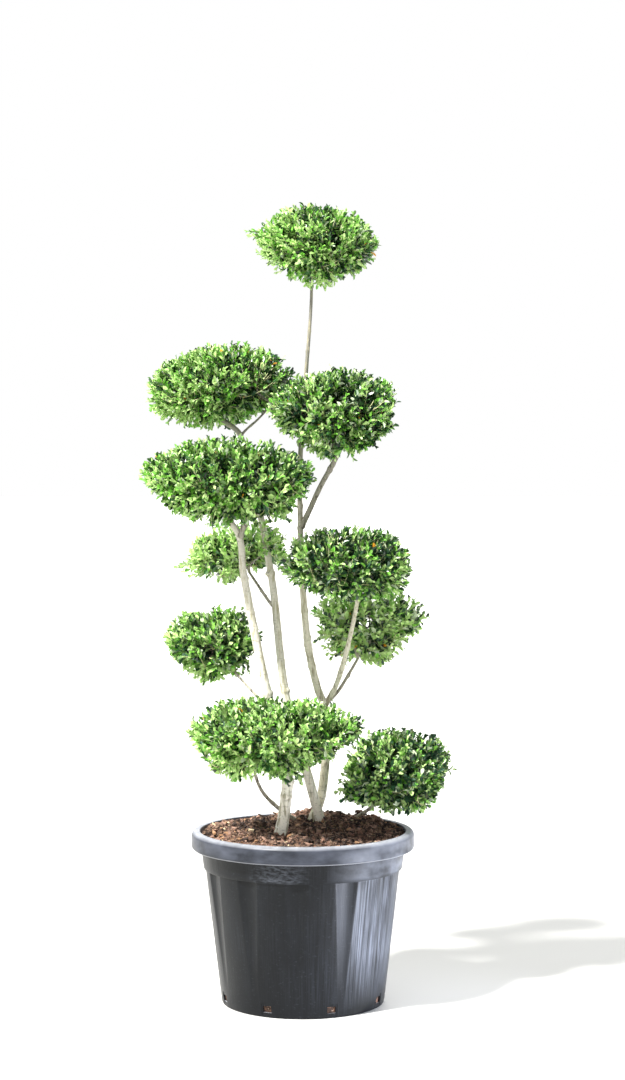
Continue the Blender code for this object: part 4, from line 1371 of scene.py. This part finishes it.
    def hollowed(self, points: Array) -> Array:
        """Return the share of outer shoots missing at each place on the front."""
        share = np.zeros(len(points))
        for across, height, spread in HOLLOWS_MM[self.name]:
            away = np.hypot(points[:, 0] * 1000.0 - across, points[:, 2] * 1000.0 - height)
            share = np.maximum(share, np.exp(-((away / (1.15 * spread)) ** 4)))
        return share * (points[:, 1] < self.envelope.centre[1])

    def lobed(self, points: Array) -> Array:
        """Return how far the shears left each place proud of the plain clipped shape.

        It is the sum of the cloud's lobes and dents, each a Gaussian bump round a place.
        """
        total = np.zeros(len(points))
        for across, height, reach, spread in LOBES_MM[self.name]:
            away = points * 1000.0 - np.array([across, 1000.0 * self.envelope.centre[1], height])
            away = away * np.array([1.0, 0.55, 1.0])
            total += 0.001 * reach * np.exp(-(away**2).sum(axis=-1) / spread**2)
        return total

    def fork(self, bases: Array) -> tuple[list[tuple[Array, Array, Array]], Array]:
        """Grow the boughs from the roots to the feet of the shoots.

        The shoots' feet are grouped, the groups' middles grouped again, and so on. Each
        group's middle, drawn towards its root, is a fork. A limb's radius is twig_radius
        times the number of its shoots to the pipe power.

        Returns:
            For each generation its centre lines, its start radii and end radii, then the
            last fork that each shoot leaves.
        """
        chance = self.chance
        owner3, last = cluster(bases, max(6, len(bases) // 7), chance)
        owner2, middle = cluster(last, max(4, len(last) // 5), chance)
        owner1, first = cluster(middle, max(3, len(middle) // 4), chance)
        root = np.argmin(((first[:, None] - self.roots[None]) ** 2).sum(axis=-1), axis=1)
        start = self.roots[root]
        first = start + 0.48 * (first - start)
        middle = middle + 0.30 * (first[owner1] - middle)
        last = last + 0.16 * (middle[owner2] - last)
        count3 = np.bincount(owner3, minlength=len(last)).astype(float)
        count2 = np.bincount(owner2, weights=count3, minlength=len(middle))
        count1 = np.bincount(owner1, weights=count2, minlength=len(first))
        generations = []
        arrive = unit(start - self.roots.mean(axis=0) + 0.02 * UP)
        for begin, end, shoots, owner, rings in (
            (start, first, count1, np.arange(len(first)), 8),
            (first[owner1], middle, count2, owner1, 7),
            (middle[owner2], last, count3, owner2, 6),
        ):
            span = np.linalg.norm(end - begin, axis=1, keepdims=True)
            lean = unit(arrive[owner] if len(arrive) != len(begin) else arrive)
            elbow = begin + 0.42 * span * lean + 0.10 * span * chance.normal(0.0, 1.0, begin.shape)
            girth = self.twig_radius * np.maximum(shoots, 1.0) ** self.pipe_power
            generations.append((bezier(begin, elbow, end, rings), 1.15 * girth, girth))
            arrive = unit(end - elbow)
        return generations, last[owner3]

    def leaf_frames(self, begin: Array, elbow: Array, end: Array, rank: Array) -> tuple[Array, Array]:
        """Seat the leaves in opposite pairs, each pair square to the last.

        A leaf leaves the shoot at an angle that narrows towards the tip, and turns its
        face to the sky.

        Returns:
            The (shoots, pairs, 3) seats, and a (shoots, pairs, 2, 3, 3) frame for each leaf.
        """
        chance = self.chance
        shape = (len(end), self.pairs, 2)
        span = np.linalg.norm(end - elbow, axis=1) + 0.5 * np.linalg.norm(elbow - begin, axis=1)
        leafy = np.clip(self.leafy_length / span, 0.25, 0.70)[:, None]
        t = (1.0 - leafy * (1.0 - rank) + chance.uniform(-0.02, 0.0, shape[:2]))[..., None]
        begin, elbow, end = begin[:, None], elbow[:, None], end[:, None]
        seat = (1 - t) ** 2 * begin + 2 * t * (1 - t) * elbow + t**2 * end
        axis = unit(2 * (1 - t) * (elbow - begin) + 2 * t * (end - elbow))
        first = unit(np.cross(axis, np.array([0.31, 0.87, 0.38])))
        second = np.cross(axis, first)
        turn = chance.uniform(0.0, math.tau, (len(end), 1)) + 0.5 * math.pi * np.arange(self.pairs)[None]
        turn = (turn + chance.normal(0.0, 0.22, shape[:2]))[..., None]
        side = first * np.cos(turn) + second * np.sin(turn)
        side = np.stack([side, -side], axis=2)
        axis = np.repeat(axis[:, :, None], 2, axis=2)
        opening = 56.0 - 32.0 * rank[..., None] + chance.normal(0.0, 12.0, shape)
        opening = np.radians(opening)[..., None]
        ahead = axis * np.cos(opening) + side * np.sin(opening)
        face = axis * np.sin(opening) - side * np.cos(opening)
        face = face + 0.45 * UP + chance.normal(0.0, 0.34, (*shape, 3))
        return seat, frames_of(ahead, face)

    def leaves(self, lines: tuple[Array, Array, Array], inner: Array) -> tuple[Array, Array, Array]:
        """Set leaves along the shoots, folded along the midrib and bent down at the end.

        Args:
            lines: the begin, elbow and end of each shoot's curve.
            inner: 1 for the shoots that stay inside, else 0.

        Returns:
            The points, the triangles, and each triangle's tint.
        """
        chance = self.chance
        rank = (np.arange(self.pairs) / (self.pairs - 1))[None] ** 0.75
        seat, frames = self.leaf_frames(*lines, rank)
        shape = frames.shape[:3]
        length = self.leaf_length * (1.06 - 0.34 * rank[..., None] ** 3) * chance.uniform(0.74, 1.18, shape)
        length = length.reshape(-1, 1, 1)
        width = self.leaf_width * chance.uniform(0.88, 1.14, (length.size, 1))
        blade = np.concatenate([LEAF_MIDRIB, LEAF_EDGE, LEAF_EDGE * np.array([1.0, -1.0, 1.0])])
        blades = np.repeat(blade[None], len(length), axis=0)
        blades[:, :, 1] *= width
        blades[:, :, 2] *= chance.uniform(0.5, 1.6, (len(length), 1))
        seats = np.repeat(seat[:, :, None], 2, axis=2).reshape(-1, 1, 3)
        points = turned(blades * length, frames.reshape(-1, 3, 3)) + seats
        fan = np.array([(2, *pair) for pair in zip(LEAF_RIM, LEAF_RIM[1:])])
        tint = self.tints(seats.reshape(shape + (3,)), rank, inner).reshape(-1)
        kept = self.inside_clip(points, tint.size) & (chance.random(tint.size) > self.thinned(seats[:, 0]))
        shell = self.envelope.depth(seats[:, 0]) > 0.78
        kept &= ~shell | (chance.random(tint.size) > 0.85 * self.hollowed(seats[:, 0]))
        kept[(shape[0] - self.strays) * self.pairs * 2 :] = True
        points, tint = points[kept], tint[kept]
        return points.reshape(-1, 3), copied(fan, len(points), len(blade)), np.repeat(tint, len(fan))

    def inside_clip(self, points: Array, count: int) -> Array:
        """Return which leaves the shears have left: those that end within the slack."""
        tips = points[:, 1]
        reach = np.linalg.norm(tips - self.envelope.centre, axis=-1)
        beyond = (self.envelope.depth(tips) - 1.0) * reach
        least, spread = self.clip_slack
        return beyond < least + spread * self.chance.random(count)

    def tints(self, seats: Array, rank: Array, inner: Array) -> Array:
        """Deal the tints out by spray, newest at the tips. The spray also paints light and shade:
        lighter tints on the lit left and underneath, darker ones on top, on the inner shoots
        and by the cloud's shade.
        """
        chance = self.chance
        tops = seats[:, -1, 0]
        outward = self.envelope.outward(tops)
        # Painted light and shade: tints lighter on the lit left and underneath, darker on top.
        spray = -0.10 * outward[:, 2] - 0.20 * outward[:, 0] + 0.31 * self.noise(tops, 0.040, 80)
        # Painted shade: the inner shoots take darker tints, and each cloud's shade darkens it as painted
        # shade, lightening it as painted light below zero.
        spray = spray + self.mixed * chance.normal(0.0, 0.18, len(tops)) - 1.0 * inner - self.shade
        leaf = self.mixed * chance.normal(0.0, 0.36, seats.shape[:3])
        score = spray[:, None, None] + 0.55 * (rank[..., None] - 0.5) + leaf
        tint = Tint.SHADE - (score[..., None] > np.array(self.tint_limits)).sum(axis=-1)
        # Painted reflection: a share of the old dark leaves turn blue-green, like glossy leaves that mirror
        # the sky.
        cool = (tint >= Tint.DEEP) & (chance.random(tint.shape) < self.cool_share)
        tint = np.where(cool, int(Tint.COOL), tint)
        # Pale leaves: their undersides, and a painted whitish sheen of the sky.
        tint = np.where(chance.random(tint.shape) < self.pale_share, int(Tint.PALE), tint)
        return np.where(chance.random(tint.shape) < self.gold_share, int(Tint.GOLD), tint)

    def build(
        self,
        node: bpy.types.Object,
        leaf_materials: list[bpy.types.Material],
        twig_materials: list[bpy.types.Material],
        bark: bpy.types.Material,
    ) -> None:
        """Fill the solid mass with its boughs, twigs and leaves."""
        self.envelope = Envelope(node)
        tips, bases, inner = self.shoots()
        (first, second, third), forks = self.fork(bases)
        points, triangles = joined(tapered(*first, 9), tapered(*second, 7))
        place(new_piece(self.name + "_boughs", points, triangles, [bark]), "bark", self.name)
        twigs = tapered(*third, 4)
        taper = np.linspace(1.60, 0.75, 5)[None] * self.twig_radius * np.ones((len(tips), 1))
        shoots = tubes(bezier(forks, bases, tips, 5), taper, 3)
        points, triangles = joined(twigs, shoots)
        kinds = np.concatenate([np.ones(len(twigs[1])), np.zeros(len(shoots[1]))])
        place(new_piece(self.name + "_twigs", points, triangles, twig_materials, kinds), "bark", self.name)
        points, triangles, tint = self.leaves((forks, bases, tips), inner)
        leaves = new_piece(
            self.name + "_leaves", points, triangles, leaf_materials, tint, self.leaf_sharp_deg
        )
        place(leaves, "foliage", self.name)


# The foot of the left stem is clothed by the front cloud, so boughs leave it there too.
STEM_SIDE = (-0.048, -0.060, 0.560)
# Each row's fourth number is its shade: painted shade above zero and painted light below zero, which lightens
# the back clouds that others shade.
CLOUDS = (
    ("cloud_top", ("stem_right",), 1.0, -0.22, 0.55, 0.026, 0.48, 1.0),
    ("cloud_upper_left", ("stem_middle", "bough_upper_left"), 1.0, -0.17, 0.55, 0.022, 0.48, 1.0),
    ("cloud_upper_right", ("bough_upper_right",), 1.0, -0.03, 0.55, 0.030, 0.50, 1.1, 0.07, 0.25),
    ("cloud_middle_left", ("stem_left", "bough_middle_left"), 1.0, -0.10, 0.50, 0.034, 0.52, 1.0, 0.05, 0.18),
    ("cloud_back_left", ("bough_back_left",), 0.75, -0.79, 0.90, 0.030, 0.50, 1.7, 0.14, 0.15),
    ("cloud_middle_right", ("bough_middle_right",), 1.0, 0.07, 0.50, 0.028, 0.50, 1.2, 0.07, 0.40),
    ("cloud_back_right", ("bough_back_right",), 0.54, -0.86, 1.10, 0.030, 0.56, 3.0, 0.14, 0.50),
    ("cloud_lower_left", ("bough_lower_left",), 1.0, -0.14, 0.55, 0.028, 0.56, 1.1, 0.08, 0.60),
    ("cloud_front", ("shoot_front",), 1.0, -0.27, 0.50, 0.052, 0.52, 1.2, 0.05, 0.30),
    ("cloud_lower_right", ("shoot_lower_right",), 1.0, 0.03, 0.70, 0.034, 0.58, 1.4, 0.11, 0.75),
)


def crowns() -> list[Crown]:
    """Return the ten clouds, rooted where the limbs enter them."""
    tips = {limb.name: limb.way[-1] for limb in STEMS + BOUGHS}
    made = []
    for seed, (name, limbs, *habit) in enumerate(CLOUDS, 1):
        roots = [tips[limb] for limb in limbs]
        if name == "cloud_front":
            roots.append(np.array(STEM_SIDE))
        made.append(Crown(name, np.array(roots), seed, *habit))
    return made


# ---- stage -----------------------------------------------------------------------
@dataclass
class Studio:
    """A plain pale floor, sunlight from the upper left and a white board at the right.

    surround holds the surround's strength in front, at the back, and what is added above.
    Each sun has a name, strength, width in degrees, the way it shines and its colour.
    """

    eye: tuple[float, float, float] = (0.0207, -4.96, 1.19)
    aim_drop: float = 0.187
    aim_distance: float = 5.05
    lens_mm: float = 76.2
    sensor_mm: float = 36.0
    floor_reach: float = 60.0
    surround: tuple[float, float, float] = (0.15, 0.95, 0.40)
    suns: tuple = (
        ("key", 8.6, 5.0, (0.56, 0.47, -0.90), "#fffdf8"),
        ("back", 2.2, 20.0, (-0.15, -0.55, -0.80), "#fffdf6"),
        ("fill", 0.9, 60.0, (0.25, 1.0, -0.30), "#f6f8ff"),
    )
    board_power: float = 2.5
    board_colour: str = "#e8eeff"
    board_centre: tuple[float, float, float] = (0.87, -0.42, 0.10)
    board_size: tuple[float, float] = (0.70, 0.20)
    board_towards: tuple[float, float, float] = (-0.72, 0.36, 0.03)
    board_spread_deg: float = 45.0

    def build_camera(self) -> None:
        """Stand the camera in front of the plant, at chest height, looking slightly down."""
        camera = bpy.data.cameras.new("camera")
        camera.lens = self.lens_mm
        camera.sensor_width = self.sensor_mm
        holder = bpy.data.objects.new("camera", camera)
        holder.location = self.eye
        holder.rotation_euler.x = 0.5 * math.pi - math.atan(self.aim_drop / self.aim_distance)
        bpy.context.scene.collection.objects.link(holder)
        bpy.context.scene.camera = holder

    def build_floor(self) -> None:
        """Lay a wide pale floor under the pot."""
        corners_at = ((-1, -1, 0), (1, -1, 0), (1, 1, 0), (-1, 1, 0))
        points = self.floor_reach * np.array(corners_at, dtype=float)
        paint = Finish("matt white floor paint", "#c6c6c4", 0.9).make()
        new_piece("studio_floor", points, split(((0, 1, 2, 3),)), [paint])

    def lamp(self, kind: str, name: str, power: float, towards: tuple, colour: str) -> bpy.types.Object:
        """Return a new light that shines the given way."""
        light = bpy.data.lights.new(name, kind)
        light.energy = power
        light.color = linear(colour)[:3]
        holder = bpy.data.objects.new(name, light)
        aim = unit(np.array(towards, dtype=float))
        holder.rotation_euler = (math.acos(-aim[2]), 0.0, math.atan2(-aim[0], aim[1]))
        bpy.context.scene.collection.objects.link(holder)
        return holder

    def build_lamps(self) -> None:
        """Light the plant from the upper left and from behind, and the pot by a board."""
        for name, power, width_deg, towards, colour in self.suns:
            sun = self.lamp("SUN", name, power, towards, colour)
            sun.data.angle = math.radians(width_deg)
        board = self.lamp("AREA", "board", self.board_power, self.board_towards, self.board_colour)
        board.data.shape = "RECTANGLE"
        board.data.size, board.data.size_y = self.board_size
        board.data.spread = math.radians(self.board_spread_deg)
        board.location = self.board_centre
        board.visible_camera = False

    def build_surround(self) -> None:
        """Light the plant by a pale surround, brighter at the back, that is seen as white."""
        scene = bpy.context.scene
        scene.view_settings.view_transform = "Standard"
        scene.world = bpy.data.worlds.new("pale surround")
        scene.world.use_nodes = True
        tree = scene.world.node_tree
        surround = tree.nodes["Background"]
        surround.inputs["Color"].default_value = linear("#f4f6fa")
        heading = Value(tree, add_node(tree, "ShaderNodeTexCoord").outputs["Generated"])
        front, back, above = self.surround
        inputs = {"Value": heading.axis("Y"), "From Min": -0.8, "From Max": 0.8}
        inputs |= {"To Min": front, "To Max": back}
        level = heading.through("ShaderNodeMapRange", inputs, interpolation_type="SMOOTHSTEP")
        inputs = {"Value": heading.axis("Z"), "From Min": 0.1, "From Max": 1.0}
        inputs |= {"To Min": 0.0, "To Max": above}
        upper = heading.through("ShaderNodeMapRange", inputs)
        strength = heading.through("ShaderNodeMath", {0: level, 1: upper})
        tree.links.new(strength.socket, surround.inputs["Strength"])
        white = heading.through("ShaderNodeBackground", {"Color": linear("#ffffff"), "Strength": 1.0})
        seen = Value(tree, add_node(tree, "ShaderNodeLightPath").outputs["Is Camera Ray"])
        mixed = seen.through("ShaderNodeMixShader", {0: seen, 1: surround.outputs[0], 2: white})
        tree.links.new(mixed.socket, tree.nodes["World Output"].inputs["Surface"])


def corners(box: tuple) -> list[list[float]]:
    """Return a box's two corners as plain lists of numbers."""
    return [[float(value) for value in corner] for corner in box]


def main() -> None:
    """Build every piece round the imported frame."""
    logging.basicConfig(level=logging.INFO, format="%(name)s: %(message)s")
    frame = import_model()
    studio = Studio()
    studio.build_camera()
    studio.build_surround()
    studio.build_lamps()
    studio.build_floor()
    pot = Pot()
    pot.build()
    soil = Soil(pot)
    soil.build_body()
    soil.build_chips()
    chance = np.random.default_rng(SEED)
    stem_bark, shaded_back_bark, bough_bark = STEM_BARK.make(), SHADED_BACK_BARK.make(), BOUGH_BARK.make()
    for limb in STEMS:
        limb.build(soil, shaded_back_bark if limb.name == "stem_right" else stem_bark, chance)
    for limb in BOUGHS:
        limb.build(soil, shaded_back_bark if limb.name == "bough_middle_right" else bough_bark, chance)
    leaf_materials = [LEAF_FINISHES[tint].make() for tint in Tint]
    twig_materials = [finish.make() for finish in TWIG_FINISHES]
    for crown in crowns():
        crown.build(frame["nodes"][crown.name], leaf_materials, twig_materials, bough_bark)


if __name__ == "__main__":
    main()
